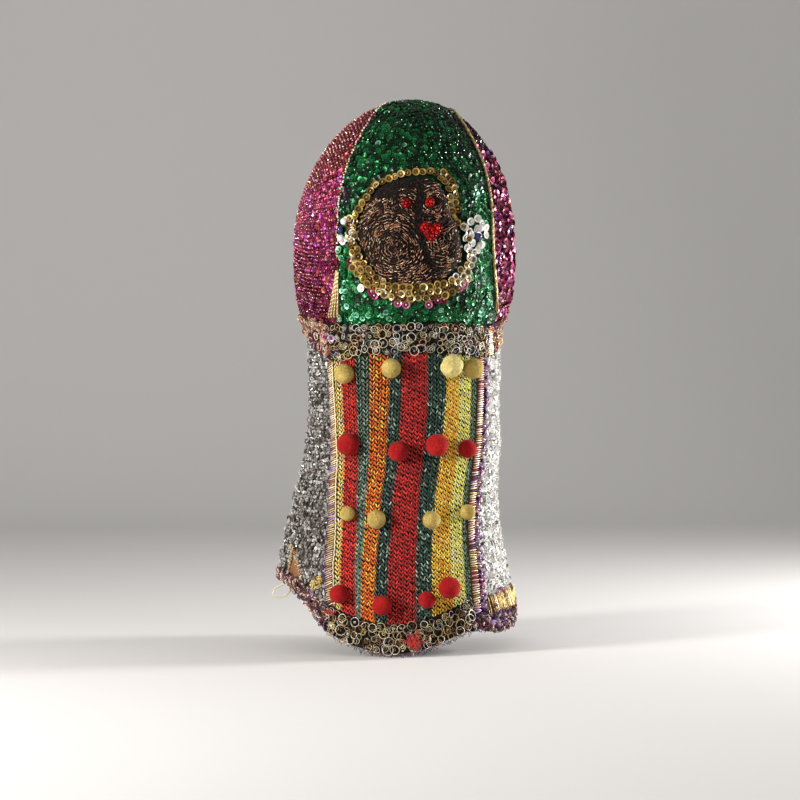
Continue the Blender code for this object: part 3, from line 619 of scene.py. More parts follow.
class Column:
    """A node that runs down the hood: places by share across it and height."""

    def __init__(self, name, low, high):
        self.name = name
        tree = tree_of(NODES[name].data)
        self.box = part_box(name)
        heights, left, right = [], [], []
        for z in np.linspace(self.box[0].z + 0.002, self.box[1].z - 0.002, 70):
            hits = []
            for angle in np.arange(low, high, 0.2):
                start = Vector((0, 0, z)) + side_on(angle) * OUTSIDE
                if tree.ray_cast(start, -side_on(angle), OUTSIDE)[0]:
                    hits.append(angle)
            if hits:
                heights.append(z)
                left.append(min(hits))
                right.append(max(hits))
        self.heights, self.left, self.right = np.array(heights), np.array(left), np.array(right)

    def edges(self, z):
        return np.interp(z, self.heights, self.left), np.interp(z, self.heights, self.right)

    def at(self, across, z):
        left, right = self.edges(z)
        return GROUND.around(self.name, left + across * (right - left), z)

    def steps(self, pitch):
        return np.arange(self.box[1].z - 0.0015, self.box[0].z + 0.001, -pitch)


# Small shapes, made once and sewn on many times


def arrays(bm, middle=None):
    """A small shape's corners, triangles, and how near its middle each corner is."""
    bmesh.ops.triangulate(bm, faces=bm.faces)
    bmesh.ops.recalc_face_normals(bm, faces=bm.faces)
    bm.verts.ensure_lookup_table()
    corners = np.array([v.co for v in bm.verts])
    faces = np.array([[v.index for v in f.verts] for f in bm.faces])
    near = np.zeros(len(corners)) if middle is None else np.array([middle(v.co) for v in bm.verts])
    bm.free()
    return corners, faces, near


def sequin(sides, dish=0.16, thick=0.10):
    """A faceted cup sequin of radius 1: closed, dished, with its middle marked."""
    bm = bmesh.new()
    bmesh.ops.create_uvsphere(bm, u_segments=sides, v_segments=2, radius=1)
    for v in bm.verts:
        if abs(v.co.z) > 0.5:
            v.co.z = -dish if v.co.z > 0 else -dish - thick
    return arrays(bm, lambda p: 1.0 - min(math.hypot(p.x, p.y), 1.0))


# The section of a large cup sequin as shares of its radius: out from its middle and up.
CUP_SECTION = (
    (0.17, -0.22), (0.45, -0.20), (0.62, 0.00), (0.98, 0.14),
    (1.00, 0.04), (0.66, -0.12), (0.46, -0.32), (0.17, -0.34),
)


def cup(sides=12, section=CUP_SECTION):
    """A large cup sequin of radius 1, turned from its section, with a hole and a raised lip."""
    bm = bmesh.new()
    loop = [bm.verts.new((r, 0, z)) for r, z in section]
    edges = [bm.edges.new((a, b)) for a, b in zip(loop, loop[1:] + loop[:1])]
    bmesh.ops.spin(
        bm, geom=loop + edges, cent=(0, 0, 0), axis=(0, 0, 1), angle=2 * math.pi, steps=sides, use_merge=True
    )
    bmesh.ops.remove_doubles(bm, verts=bm.verts, dist=1e-4)
    return arrays(bm, lambda p: 1.0 - min(math.hypot(p.x, p.y), 1.0))


def small_cup(sides=7):
    """A small cup sequin whose hole shows."""
    return cup(sides, ((0.30, -0.18), (1.00, 0.12), (0.34, -0.32)))


def bead(sides=6, rings=2):
    """A round bead of radius 1; with two rings it is a small cut one."""
    bm = bmesh.new()
    bmesh.ops.create_uvsphere(bm, u_segments=sides, v_segments=rings, radius=1)
    return arrays(bm)


def spindle(sides=5, rings=4, bow=0.0):
    """A short strand along Y, of half length and radius 1, bowed outwards in its middle."""
    bm = bmesh.new()
    bmesh.ops.create_uvsphere(bm, u_segments=sides, v_segments=rings, radius=1)
    bmesh.ops.rotate(bm, verts=bm.verts, cent=(0, 0, 0), matrix=Matrix.Rotation(math.pi / 2, 3, "X"))
    for v in bm.verts:
        v.co.z += bow * (1 - v.co.y * v.co.y)
    return arrays(bm)


def tube(path, thick, closed=False, sides=4):
    """A round strand along a path of points."""
    curve = bpy.data.curves.new("tube", "CURVE")
    curve.dimensions = "3D"
    curve.bevel_depth = thick / 2
    curve.bevel_resolution = sides // 2 - 2
    curve.use_fill_caps = not closed
    line = curve.splines.new("POLY")
    line.points.add(len(path) - 1)
    for point, p in zip(line.points, path):
        point.co = (*p, 1)
    line.use_cyclic_u = closed
    holder = bpy.data.objects.new("tube", curve)
    bpy.context.scene.collection.objects.link(holder)
    mesh = bpy.data.meshes.new_from_object(holder.evaluated_get(bpy.context.evaluated_depsgraph_get()))
    bpy.data.objects.remove(holder)
    bm = bmesh.new()
    bm.from_mesh(mesh)
    bmesh.ops.remove_doubles(bm, verts=bm.verts, dist=thick / 50)
    return arrays(bm)


def ring(steps=14, thick=0.2):
    """A loop of thread of radius 1."""
    turns = np.linspace(0, 2 * math.pi, steps, False)
    return tube([(math.cos(t), math.sin(t), 0.08 * math.sin(3 * t)) for t in turns], thick, closed=True)


def curl(turns=1.6, steps=20, thick=0.2, inner=0.28):
    """A curl of thread that winds in from radius 1."""
    path = []
    for s in np.linspace(0, 1, steps):
        radius, turn = 1 - (1 - inner) * s, 2 * math.pi * turns * s
        path.append((radius * math.cos(turn), radius * math.sin(turn), 0.15 * math.sin(5 * s)))
    return tube(path, thick)


def crinkle(steps=11, thick=0.3):
    """A crumpled bit of thread, 2 long."""
    path = [
        (0.42 * math.sin(7 * s), 2 * s - 1, 0.35 * math.sin(math.pi * s) + 0.12 * math.sin(11 * s))
        for s in np.linspace(0, 1, steps)
    ]
    return tube(path, thick)


def bent_thread(steps=6):
    """A short end of thread, bent nearly into a ring."""
    return curl(1.1, steps, 0.36, 0.5)


def frames(normals):
    """Axes on the cloth at each place, as columns: sideways, upwards along it, and outwards."""
    out = np.asarray(normals, float)
    out = out / np.linalg.norm(out, axis=1, keepdims=True)
    up = np.zeros_like(out)
    up[:, 2] = 1.0
    up[:, 1] = 0.02
    up -= out * (up * out).sum(1, keepdims=True)
    up /= np.linalg.norm(up, axis=1, keepdims=True)
    return np.stack([np.cross(up, out), up, out], axis=2)


def spun(axes, turn=0.0, lean=0.0, roll=0.0):
    """Axes turned in the cloth's plane, leant about their side and rolled, in degrees."""
    count = len(axes)
    turn, lean, roll = (np.radians(np.broadcast_to(a, count)) for a in (turn, lean, roll))
    one, none = np.ones(count), np.zeros(count)

    def matrix(*rows):
        return np.stack([np.stack(r, axis=1) for r in rows], axis=1)

    c, s = np.cos(turn), np.sin(turn)
    spin = matrix((c, -s, none), (s, c, none), (none, none, one))
    c, s = np.cos(lean), np.sin(lean)
    tip = matrix((one, none, none), (none, c, -s), (none, s, c))
    c, s = np.cos(roll), np.sin(roll)
    rock = matrix((c, none, s), (none, one, none), (-s, none, c))
    return axes @ spin @ tip @ rock


def strewn(normals, tilt):
    """Axes on the cloth turned at random, each tilted a little its own way."""
    count = len(normals)
    turn = CHANCE.uniform(0, 360, count)
    lean = CHANCE.normal(0, tilt, count)
    return spun(frames(normals), turn, lean, CHANCE.normal(0, tilt, count))


def shades(count, *palette, wander=0.18):
    """A tint for each of many: palette is (colour, share) pairs, and each tint wanders a little."""
    weights = np.array([w for _, w in palette], float)
    picks = CHANCE.choice(len(palette), count, p=weights / weights.sum())
    colours = np.array([linear(n) for n, _ in palette])[picks]
    return np.clip(colours * np.exp(CHANCE.normal(0, wander, (count, 1))), 0, 1)


def keep(obj, replaced=()):
    """A finished piece goes on the hood's body, and the nodes it replaces are hidden."""
    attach(obj, "root")
    for node in replaced:
        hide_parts(node)
    return obj


def joined(name, parts, smooth=False, replaced=()):
    """One object from many copies of small shapes. Each part is (shape, points, axes, size, tint,
    material); size is one number, or three for each copy."""
    corners, faces, tints, middles, kinds, used, first = [], [], [], [], [], [], 0
    for (shape, triangles, middle), points, axes, size, tint, material in parts:
        count = len(points)
        if not count:
            continue
        if material not in used:
            used.append(material)
        size = np.asarray(size, float)
        if size.ndim < 2:
            size = np.broadcast_to(size.reshape(-1, 1), (count, 3))
        local = shape[None] * size[:, None]
        world = np.einsum("kij,kmj->kmi", axes, local) + np.asarray(points)[:, None]
        corners.append(world.reshape(-1, 3))
        offsets = first + np.arange(count)[:, None, None] * len(shape)
        faces.append((triangles[None] + offsets).reshape(-1, 3))
        tints.append(np.repeat(tint, len(shape), axis=0))
        middles.append(np.tile(middle, count))
        kinds.append(np.full(count * len(triangles), used.index(material), np.int32))
        first += count * len(shape)
    corners, faces = np.concatenate(corners), np.concatenate(faces)
    mesh = bpy.data.meshes.new(name)
    mesh.from_pydata(corners, [], faces)
    colour = mesh.attributes.new("tint", "FLOAT_COLOR", "POINT")
    rgba = np.ones((len(corners), 4), np.float32)
    rgba[:, :3] = np.concatenate(tints)
    colour.data.foreach_set("color", rgba.ravel())
    near = mesh.attributes.new("middle", "FLOAT", "POINT")
    near.data.foreach_set("value", np.concatenate(middles).astype(np.float32))
    for material in used:
        mesh.materials.append(MATERIALS[material])
    mesh.polygons.foreach_set("material_index", np.concatenate(kinds))
    if smooth:
        mesh.shade_smooth()
    made = bpy.data.objects.new(name, mesh)
    bpy.context.scene.collection.objects.link(made)
    return keep(made, replaced)


def split(places):
    """Places as an array of points and one of outward normals."""
    points = np.array([p for p, _ in places]).reshape(-1, 3)
    normals = np.array([n for _, n in places]).reshape(-1, 3)
    return points, normals


def near_any(points, spots, radius):
    """Which points lie within a radius of any spot."""
    near = np.zeros(len(points), bool)
    for spot in spots:
        near |= np.linalg.norm(points - np.array(spot), axis=1) < radius
    return near


def seen_at(name, spots):
    """A piece's places seen at places of the photograph."""
    return [met for met in (GROUND.seen(name, x, y) for x, y in spots) if met]


# The sequined cap


def rows_on(name, pole, first, last, pitch, jitter):
    """Places in rows over a panel of the cap, each row a ring round a pole: point, normal and
    the way the row runs."""
    pole = Vector(pole)
    side = pole.orthogonal().normalized()
    across = pole.cross(side)
    found, rise, row = [], first, 0
    while rise < last:
        ring_size = CAP_RADIUS * math.sin(rise)
        count = max(int(2 * math.pi * ring_size / pitch), 1)
        for k in range(count):
            turn = 2 * math.pi * (k + 0.5 * (row % 2)) / count
            a = rise + CHANCE.normal(0, jitter) / CAP_RADIUS
            b = turn + CHANCE.normal(0, jitter) / max(ring_size, 0.01)
            along = side * math.cos(b) + across * math.sin(b)
            direction = pole * math.cos(a) + along * math.sin(a)
            if GROUND.owner(CAP_HEART, direction) == name:
                met = GROUND.meet(name, CAP_HEART, direction)
                if met:
                    found.append((*met, pole.cross(along)))
        rise += pitch * 0.88 / CAP_LONG_RADIUS
        row += 1
    return found


def sewn_rows(found, tilt, lean):
    """Axes for sequins that lean along their rows, as overlapping ones do."""
    points, normals = split([f[:2] for f in found])
    runs = np.array([f[2] for f in found])
    axes = frames(normals)
    turn = np.degrees(np.arctan2(-(runs * axes[:, :, 0]).sum(1), (runs * axes[:, :, 1]).sum(1)))
    count = len(points)
    turn = turn + CHANCE.normal(0, 12, count)
    lean = lean + CHANCE.normal(0, tilt, count)
    return points, normals, spun(axes, turn, lean, CHANCE.normal(0, tilt, count))


def with_seeds(flake, points, normals, axes, size, tint, seeds, material):
    """Sequins, each held by a seed bead."""
    up = points + normals * SEQUIN_LIFT
    out = axes[:, :, 2]
    return [
        (flake, up, axes, size, tint, material),
        (bead(), up + out * 0.0005, axes, SEED_BEAD / 2, seeds, "beads"),
    ]


# Places of the photograph on the cap: dark patches on the green strip; patches along its edges where its
# sequins are pale and many are ringed, their pale mint partly their own colour and partly painted highlight
# where light falls on the edges; and bluish patches on the left side.
DARK_PATCHES = ((462, 126), (470, 138), (452, 118), (342, 188), (346, 196))
PALE_PATCHES = (
    (481, 200), (484, 215), (485, 232), (486, 250), (488, 270), (490, 288), (488, 305), (482, 316),
    (470, 318), (342, 255), (342, 275), (343, 295), (345, 312), (358, 316), (372, 318), (390, 319),
    (440, 318), (455, 318),
)
BLUISH_PATCHES = ((327, 172), (322, 174))


def crown_sequins():
    """The green strip and the magenta sides, each sequin with its own tilt and tint."""
    flake, open_cup = sequin(7), small_cup()
    found = rows_on("crown_center_panel", (0, 0, 1), 0.003, math.radians(140), GREEN_PITCH, 0.0007)
    points, normals = split([f[:2] for f in found])
    count = len(points)
    axes = strewn(normals, 10)
    tint = shades(count, ("bottle", 6), ("emerald", 4), ("mint", 0.04), wander=0.34)
    # Pale mint at the strip's edges: partly the sequins' own colour, partly painted highlight.
    pale = near_any(points, [p for p, _ in seen_at("crown_center_panel", PALE_PATCHES)], 0.010)
    tint[pale] = shades(int(pale.sum()), ("mint", 1.3), ("emerald", 4), wander=0.25)
    dark = near_any(points, [p for p, _ in seen_at("crown_center_panel", DARK_PATCHES)], 0.009)
    tint[dark] = shades(int(dark.sum()), ("aubergine", 1))
    size = GREEN_SEQUIN / 2 * CHANCE.uniform(0.85, 1.12, count)
    seeds = shades(count, ("mint", 0.8), ("emerald", 4), ("bottle", 3))
    ringed = (CHANCE.random(count) < 0.05) | (pale & (CHANCE.random(count) < 0.6))
    parts = []
    for shape, mine in ((flake, ~ringed), (open_cup, ringed)):
        parts += with_seeds(
            shape, points[mine], normals[mine], axes[mine], size[mine], tint[mine], seeds[mine], "green_film"
        )
    joined("crown_sequins_green", parts)

    left_magenta(flake, open_cup)
    right_magenta(flake, open_cup)


# Heights on the cap's sides: on the left the rows are dark rose above the first and rusty below the
# second, and on the right they are nearly black above the third.
ROSE_ABOVE = -0.083
RUSTY_BELOW = -0.172
DARK_ABOVE = -0.047


def left_magenta(flake, open_cup):
    """The left side: rows of bright seeds on dark rose above, magenta cups and flakes below."""
    found = rows_on("crown_left_panel", (-1, 0, 0), 0.003, math.radians(85), MAGENTA_PITCH, 0.0004)
    points, normals, axes = sewn_rows(found, 8, 12)
    count = len(points)
    upper = points[:, 2] > ROSE_ABOVE + 0.007 * np.sin(points[:, 1] * 70)
    tint = shades(count, ("magenta", 3), ("violet", 1.2), ("rust", 3), ("wine", 4), ("pink", 0.3), wander=0.3)
    seeds = shades(count, ("pink", 2), ("copper", 1.4), ("magenta", 3), ("blush", 0.6))
    tint[upper] = shades(int(upper.sum()), ("rust", 4), ("wine", 6), ("magenta", 0.6), wander=0.2)
    seeds[upper] = shades(int(upper.sum()), ("blush", 1.2), ("copper", 3), ("pink", 0.8), ("rust", 3))
    foot = points[:, 2] < RUSTY_BELOW
    tint[foot] = shades(int(foot.sum()), ("rust", 4), ("copper", 1), ("magenta", 3), ("violet", 1))
    bluish = near_any(points, [p for p, _ in seen_at("crown_left_panel", BLUISH_PATCHES)], 0.005)
    tint[bluish] = shades(int(bluish.sum()), ("navy", 1), ("violet", 2), ("rust", 1))
    ringed = (CHANCE.random(count) < 0.30) & ~upper
    size = MAGENTA_SEQUIN / 2 * CHANCE.uniform(0.88, 1.1, count)
    size[ringed] *= 1.3
    parts = []
    kinds = ((flake, ~ringed & ~upper, 0.0008), (flake, upper, 0.0010), (open_cup, ringed, 0.0008))
    for shape, mine, seed in kinds:
        up = points[mine] + normals[mine] * SEQUIN_LIFT
        parts.append((shape, up, axes[mine], size[mine], tint[mine], "magenta_film"))
        parts.append((bead(), up + axes[mine][:, :, 2] * 0.0007, axes[mine], seed, seeds[mine], "beads"))
    joined("crown_sequins_magenta_left", parts)


def right_magenta(flake, open_cup):
    """The right side: small dark flakes with bright seeds, and large pink ring cups over them."""
    found = rows_on("crown_right_panel", (1, 0, 0), 0.003, math.radians(85), MAGENTA_PITCH * 1.1, 0.0006)
    points, normals, axes = sewn_rows(found, 9, 12)
    count = len(points)
    tint = shades(count, ("wine", 6), ("rust", 2), ("magenta", 0.6), ("violet", 0.4), wander=0.3)
    seeds = shades(count, ("magenta", 2), ("copper", 2), ("rust", 2), ("blush", 0.6))
    upper = points[:, 2] > DARK_ABOVE + 0.006 * np.sin(points[:, 1] * 55) + CHANCE.normal(0, 0.003, count)
    tint[upper] = shades(int(upper.sum()), ("wine", 2), ("aubergine", 4), ("soot", 3))
    seeds[upper] = shades(int(upper.sum()), ("aubergine", 4), ("wine", 2), ("violet", 0.5))
    size = MAGENTA_SEQUIN / 2 * CHANCE.uniform(0.85, 1.05, count)
    parts = with_seeds(flake, points, normals, axes, size, tint, seeds, "magenta_film")
    found = rows_on("crown_right_panel", (1, 0, 0), 0.02, math.radians(85), RING_CUP_PITCH, 0.0010)
    cups = []
    for point, normal, _ in found:
        if point.z < DARK_ABOVE + 0.004 * math.sin(point.y * 55) and CHANCE.random() < 0.8:
            cups.append((point, normal))
    points, normals = split(cups)
    count = len(points)
    axes = strewn(normals, 16)
    held = points + normals * (0.0022 + CHANCE.uniform(0, 0.0008, (count, 1)))
    tint = shades(count, ("magenta", 4), ("pink", 1.6), ("rust", 1.4), ("violet", 0.6), wander=0.25)
    size = RING_CUP / 2 * CHANCE.uniform(0.85, 1.1, count)
    parts.append((open_cup, held, axes, size, tint, "magenta_film"))
    joined("crown_sequins_magenta_right", parts)


def arch_of(p):
    """How far a point lies along the cap's arch, in degrees up from the front of its belly."""
    arch = math.degrees(math.atan2(p[2] - CAP_HEART.z, -p[1]))
    return arch + 360 if arch < -90 else arch


def centre_line(name, step):
    """The middle line of a cord that runs over the cap: points and outward normals."""
    corners = sorted(([arch_of(v.co), v.co.copy()] for v in NODES[name].data.vertices), key=lambda c: c[0])
    arches = np.array([a for a, _ in corners])
    places = np.array([p for _, p in corners])
    line = []
    for arch in np.arange(arches[0] + 1, arches[-1] - 1, 0.5):
        near = np.exp(-(((arches - arch) / 3.2) ** 2))
        line.append(Vector((near[:, None] * places).sum(0) / near.sum()))
    out, walked = [], 0.0
    for a, b in zip(line, line[1:]):
        walked += (b - a).length
        if walked >= step:
            walked = 0.0
            out.append(b)
    normals = [(p - Vector((0, 0, min(p.z, CAP_HEART.z)))).normalized() for p in out]
    return out, normals


def strands(line, normals, radius, turn_length, count):
    """Strands that wind round a line, as in a twisted cord."""
    made = [[] for _ in range(count)]
    walked = 0.0
    for i, (p, n) in enumerate(zip(line, normals)):
        ahead = line[min(i + 1, len(line) - 1)] - line[max(i - 1, 0)]
        walked += (line[i] - line[max(i - 1, 0)]).length
        side = ahead.normalized().cross(n)
        for k, strand in enumerate(made):
            turn = 2 * math.pi * (walked / turn_length + k / count)
            strand.append(p + radius * (math.cos(turn) * n + math.sin(turn) * side))
    return made


def one_strand(line, thick, colour, material, sides=6):
    """A strand along points on the hood, as a part for joined()."""
    shape = tube([tuple(p) for p in line], thick, False, sides)
    return shape, np.zeros((1, 3)), np.eye(3)[None], 1.0, shades(1, (colour, 1), wander=0.1), material


def cords(name, lines, material="soft_thread", replaced=()):
    """Threads and cords in one mesh. Each line is (points, thickness, colour)."""
    parts = [one_strand(line, thick, colour, material) for line, thick, colour in lines]
    return joined(name, parts, smooth=True, replaced=replaced)


def seam_cord():
    """The twisted gold cord on the cap's right seam."""
    line, normals = centre_line("crown_piping_right", 0.0008)
    line = [p + n * 0.0004 for p, n in zip(line, normals)]
    twist = strands(line, normals, 0.0008, 0.0052, 3)
    cords(
        "crown_twisted_cord",
        [(strand, 0.0017, colour) for strand, colour in zip(twist, ("pale_gold", "gold", "cream"))],
        "metal_thread",
        replaced=["crown_piping_right"],
    )


def seam_beads():
    """The line of pale beads along the cap's left seam."""
    edge = tree_of(NODES["crown_left_panel"].data)
    seam = []
    for v in NODES["crown_center_panel"].data.vertices:
        _, _, _, distance = edge.find_nearest(v.co)
        if distance is not None and distance < 0.0012 and v.co.x < 0:
            seam.append((arch_of(v.co), v.co.copy()))
    seam.sort(key=lambda s: s[0])
    arches = np.array([a for a, _ in seam])
    places = np.array([p for _, p in seam])
    spots = []
    for arch in np.arange(-8, 188, 1.35):
        p = Vector([np.interp(arch, arches, places[:, i]) for i in range(3)])
        direction = (p - CAP_HEART).normalized()
        for name in ("crown_center_panel", "crown_left_panel"):
            met = GROUND.meet(name, CAP_HEART, direction)
            if met:
                spots.append(met)
                break
    points, normals = split(spots)
    count = len(points)
    points = points + normals * 0.0016 + CHANCE.normal(0, 0.0004, (count, 3))
    tint = shades(count, ("cream", 3), ("pink", 1), ("mint", 1), ("copper", 1))
    size = 0.0011 * CHANCE.uniform(0.8, 1.2, count)
    part = (bead(6, 5), points, strewn(normals, 20), size, tint, "beads")
    joined("seam_beads_left", [part], smooth=True)


def ribs_on(shape, centres, ends, thick, palette, lift=0.0004):
    """Ribs of cord laid on a piece: each from one end point to another over its centre."""
    points, normals = split(centres)
    along = np.array([b - a for a, b in ends])
    length = np.linalg.norm(along, axis=1)
    axes = frames(normals)
    turn = np.degrees(np.arctan2(-(along * axes[:, :, 0]).sum(1), (along * axes[:, :, 1]).sum(1)))
    count = len(points)
    axes = spun(axes, turn + CHANCE.normal(0, 2, count), 0, 0)
    size = np.stack([np.full(count, thick / 2), length / 2, np.full(count, thick / 2)], axis=1)
    size *= CHANCE.uniform(0.94, 1.06, (count, 1))
    return shape, points + normals * lift, axes, size, shades(count, *palette, wander=0.14), "metal_thread"


# The right corner's block in the photograph: its lower left and right, and upper left and right.
BLOCK = ((487, 616), (514, 605), (481, 600), (509, 586))
BLOCK_PIECES = ("hem_corner_right", "side_panel_right", "hem_binding")
BLOCK_TINTS = (("cream", 2), ("pale_gold", 4), ("gold", 3))


def corner_block():
    """The block of ribbed cord at the right corner. Its ribs are placed by the photograph as far as
    that shows them, and by the block's own length from there on."""
    rib = spindle(6, 8)
    centres, ends = [], []
    for s in np.linspace(0.0, 1.0, 80):
        foot = np.array(BLOCK[0]) * (1 - s) + np.array(BLOCK[1]) * s
        head = np.array(BLOCK[2]) * (1 - s) + np.array(BLOCK[3]) * s
        met = [first_seen(BLOCK_PIECES, *(head + d * (foot - head))) for d in (0.0, 0.5, 1.0)]
        if all(met) and (not centres or (met[1][0] - centres[-1][0]).length > 0.0022):
            centres.append(met[1])
            ends.append((met[0][0], met[2][0]))
    last_shown = centres[-1][0].y
    parts = [ribs_on(rib, centres, ends, 0.0012, BLOCK_TINTS, 0.0009)]
    block = Band("hem_corner_right", 60, 95)
    count = int(block.length() / 0.0023)
    centres, ends = [], []
    for k in range(count):
        met = [block.at((k + 0.5) / count, d) for d in (0.04, 0.5, 0.96)]
        if all(met) and met[1][0].y > last_shown:
            centres.append(met[1])
            ends.append((met[0][0], met[2][0]))
    parts.append(ribs_on(rib, centres, ends, 0.0013, BLOCK_TINTS, 0.0004))
    joined("corner_ribs", parts, smooth=True)


def seam_wedge():
    """Four twisted cords side by side on the wedge at the left seam's foot."""
    low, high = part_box("crown_wedge_left")
    lines = []
    for k in range(4):
        path = []
        for z in np.arange(low.z + 0.001, high.z - 0.001, 0.0012):
            hits = [a for a in np.arange(-60, -30, 0.25) if GROUND.around("crown_wedge_left", a, z)]
            if len(hits) > 2:
                angle = hits[0] + (hits[-1] - hits[0]) * (k + 0.5) / 4
                met = GROUND.around("crown_wedge_left", angle, z)
                if met:
                    path.append(met)
        if len(path) > 2:
            line = [p + n * 0.0002 for p, n in path]
            twist = strands(line, [n for _, n in path], 0.0005, 0.004, 2)
            lines += [(strand, 0.0013, colour) for strand, colour in zip(twist, ("cream", "gold"))]
    cords("wedge_cords", lines, "metal_thread")


# The silver sides


# The open corner in the photograph: how high its top is, and how far down it goes.
NOTCH_TOP = 546
NOTCH_DEEP = 27

# Each silver side: the angles where it starts and ends, the film of its sequins, the share of them
# that are open cups, and the tints of its sequins and of its beads. Both sides are one silver beading: the
# left side's darker tints are painted shade, and the right side's white film and white tints painted light.
SILVER_SIDES = {
    "left": (
        (-182, -36),
        "silver_film",
        0.15,
        (("silver", 1), ("steel", 3), ("ash", 4), ("slate", 4)),
        (("silver", 3), ("steel", 4), ("ash", 3)),
    ),
    "right": (
        (32, 182),
        "white_film",
        0.40,
        (("white", 8), ("silver", 2), ("ash", 0.3)),
        (("white", 10), ("silver", 4), ("steel", 1)),
    ),
}
# Towards the back both sides take these tints, so the painted shade and light of the sides fade out there.
BACK_TINTS = (("silver", 4), ("steel", 5), ("white", 0.6), ("ash", 2))
BACK_OPEN = 0.12


def silver_places(name, first, last):
    """Places in rows round a silver side, each row half a step on from the one above."""
    low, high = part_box(name)
    step = math.degrees(SILVER_PITCH / SKIRT_RADIUS)
    places = []
    for row, z in enumerate(np.arange(high.z, low.z, -SILVER_PITCH * 0.95)):
        for angle in np.arange(first, last, step) + 0.5 * step * (row % 2):
            angle += CHANCE.normal(0, 0.3)
            centre = Vector((0, 0, z + CHANCE.normal(0, 0.0005)))
            if GROUND.owner(centre, side_on(angle)) == name:
                met = GROUND.meet(name, centre, side_on(angle))
                if met:
                    places.append(met)
    return places


def side_beading():
    """Small silver sequins and cups set at all angles, with a bead in most of them."""
    flake, open_cup, seed = sequin(6, 0.25, 0.14), small_cup(6), bead()
    for side, ((first, last), film_name, share_open, tints, bead_tints) in SILVER_SIDES.items():
        name = f"side_panel_{side}"
        places = silver_places(name, first, last)
        if side == "left":
            spots = []
            for out in (1, 3.5):
                for t in np.arange(0, 1, 0.11):
                    spots.append((290 - out - 8 * t, NOTCH_TOP + NOTCH_DEEP * t))
            places += seen_at(name, spots)
        points, normals = split(places)
        count = len(points)
        axes, steep = strewn(normals, 17), strewn(normals, 42)
        tint = shades(count, *tints, wander=0.18)
        # Painted shade and light fade out towards the back, where the sides share BACK_TINTS.
        behind = CHANCE.random(count) < np.clip((points[:, 1] + 0.012) / 0.045, 0, 1)
        tint[behind] = shades(int(behind.sum()), *BACK_TINTS)
        size = SILVER_SEQUIN / 2 * CHANCE.uniform(0.8, 1.1, count)
        lifted = points + normals * (SEQUIN_LIFT + CHANCE.uniform(0, 0.0008, (count, 1)))
        opened = CHANCE.random(count) < np.where(behind, BACK_OPEN, share_open)
        shut = ~opened
        size[opened] *= 1.3
        picks = shut & (CHANCE.random(count) < np.where(behind, 0.5, 0.7))
        held = lifted[picks] + axes[picks][:, :, 2] * 0.0007
        seeds = shades(int(picks.sum()), *bead_tints)
        cups = lifted[opened] + normals[opened] * 0.0004
        parts = [
            (flake, lifted[shut], axes[shut], size[shut], tint[shut], film_name),
            (open_cup, cups, steep[opened], size[opened], tint[opened], film_name),
            (seed, held, axes[picks], 0.0011, seeds, "beads"),
        ]
        joined(f"side_beading_{side}", parts)


# The crocheted front

# The stripes from left to right: colour, and where each starts across the panel at its top and foot.
STRIPES = (
    ("yellow", 0.000, 0.000),
    ("scarlet", 0.076, 0.071),
    ("sage", 0.178, 0.172),
    ("orange", 0.267, 0.222),
    ("spruce", 0.380, 0.317),
    ("crimson", 0.450, 0.394),
    ("spruce", 0.597, 0.562),
    ("amber", 0.709, 0.667),
    ("lime", 0.798, 0.790),
    ("teal", 0.894, 0.890),
)

# The second colour that flecks each stripe's yarn.
FLECKS = {
    "sage": "mist", "spruce": "mist", "crimson": "scarlet", "scarlet": "crimson", "amber": "yellow",
    "orange": "amber", "yellow": "cream", "lime": "cream", "teal": "mist",
}
CROCHET_WIDE = 0.163
STRIPE_TOP, STRIPE_FOOT = -0.2955, -0.43

# The pale stripes let little of the dark ground through, so their strands get less painted shade: how bright
# their dimmest strands are painted.
DIMMEST = {"lime": 0.95, "amber": 0.8, "yellow": 0.6}

# The strands of one stitch: across its column and down from its top as shares of it, the slant in
# degrees, half the length as a share of the stitch's height, and its painted brightness: the two legs painted
# lit, the strand under the hole in painted shade and the one on the ridge a little shaded.
STITCH = (
    (-0.26, 0.00, 30, 0.60, 1.45),
    (0.20, 0.06, -26, 0.58, 1.25),
    (0.00, 0.50, 68, 0.44, 0.42),
    (0.50, 0.45, 22, 0.50, 0.75),
)


def stripe_edge(index, z):
    """The share across the panel where a stripe starts, at a height."""
    if index == len(STRIPES):
        return 1.0
    _, top, foot = STRIPES[index]
    t = min(max((STRIPE_TOP - z) / (STRIPE_TOP - STRIPE_FOOT), -0.4), 1.5)
    sway = 0.0 if index == 0 else 0.006 * noise.noise(Vector((index * 0.4, z * 22, 3.0)))
    return top + t * (foot - top) + sway


def outermost(name, point):
    """Whether a piece is the outermost one at a point on it."""
    return GROUND.owner(Vector((0, 0, point.z)), level(point)) == name


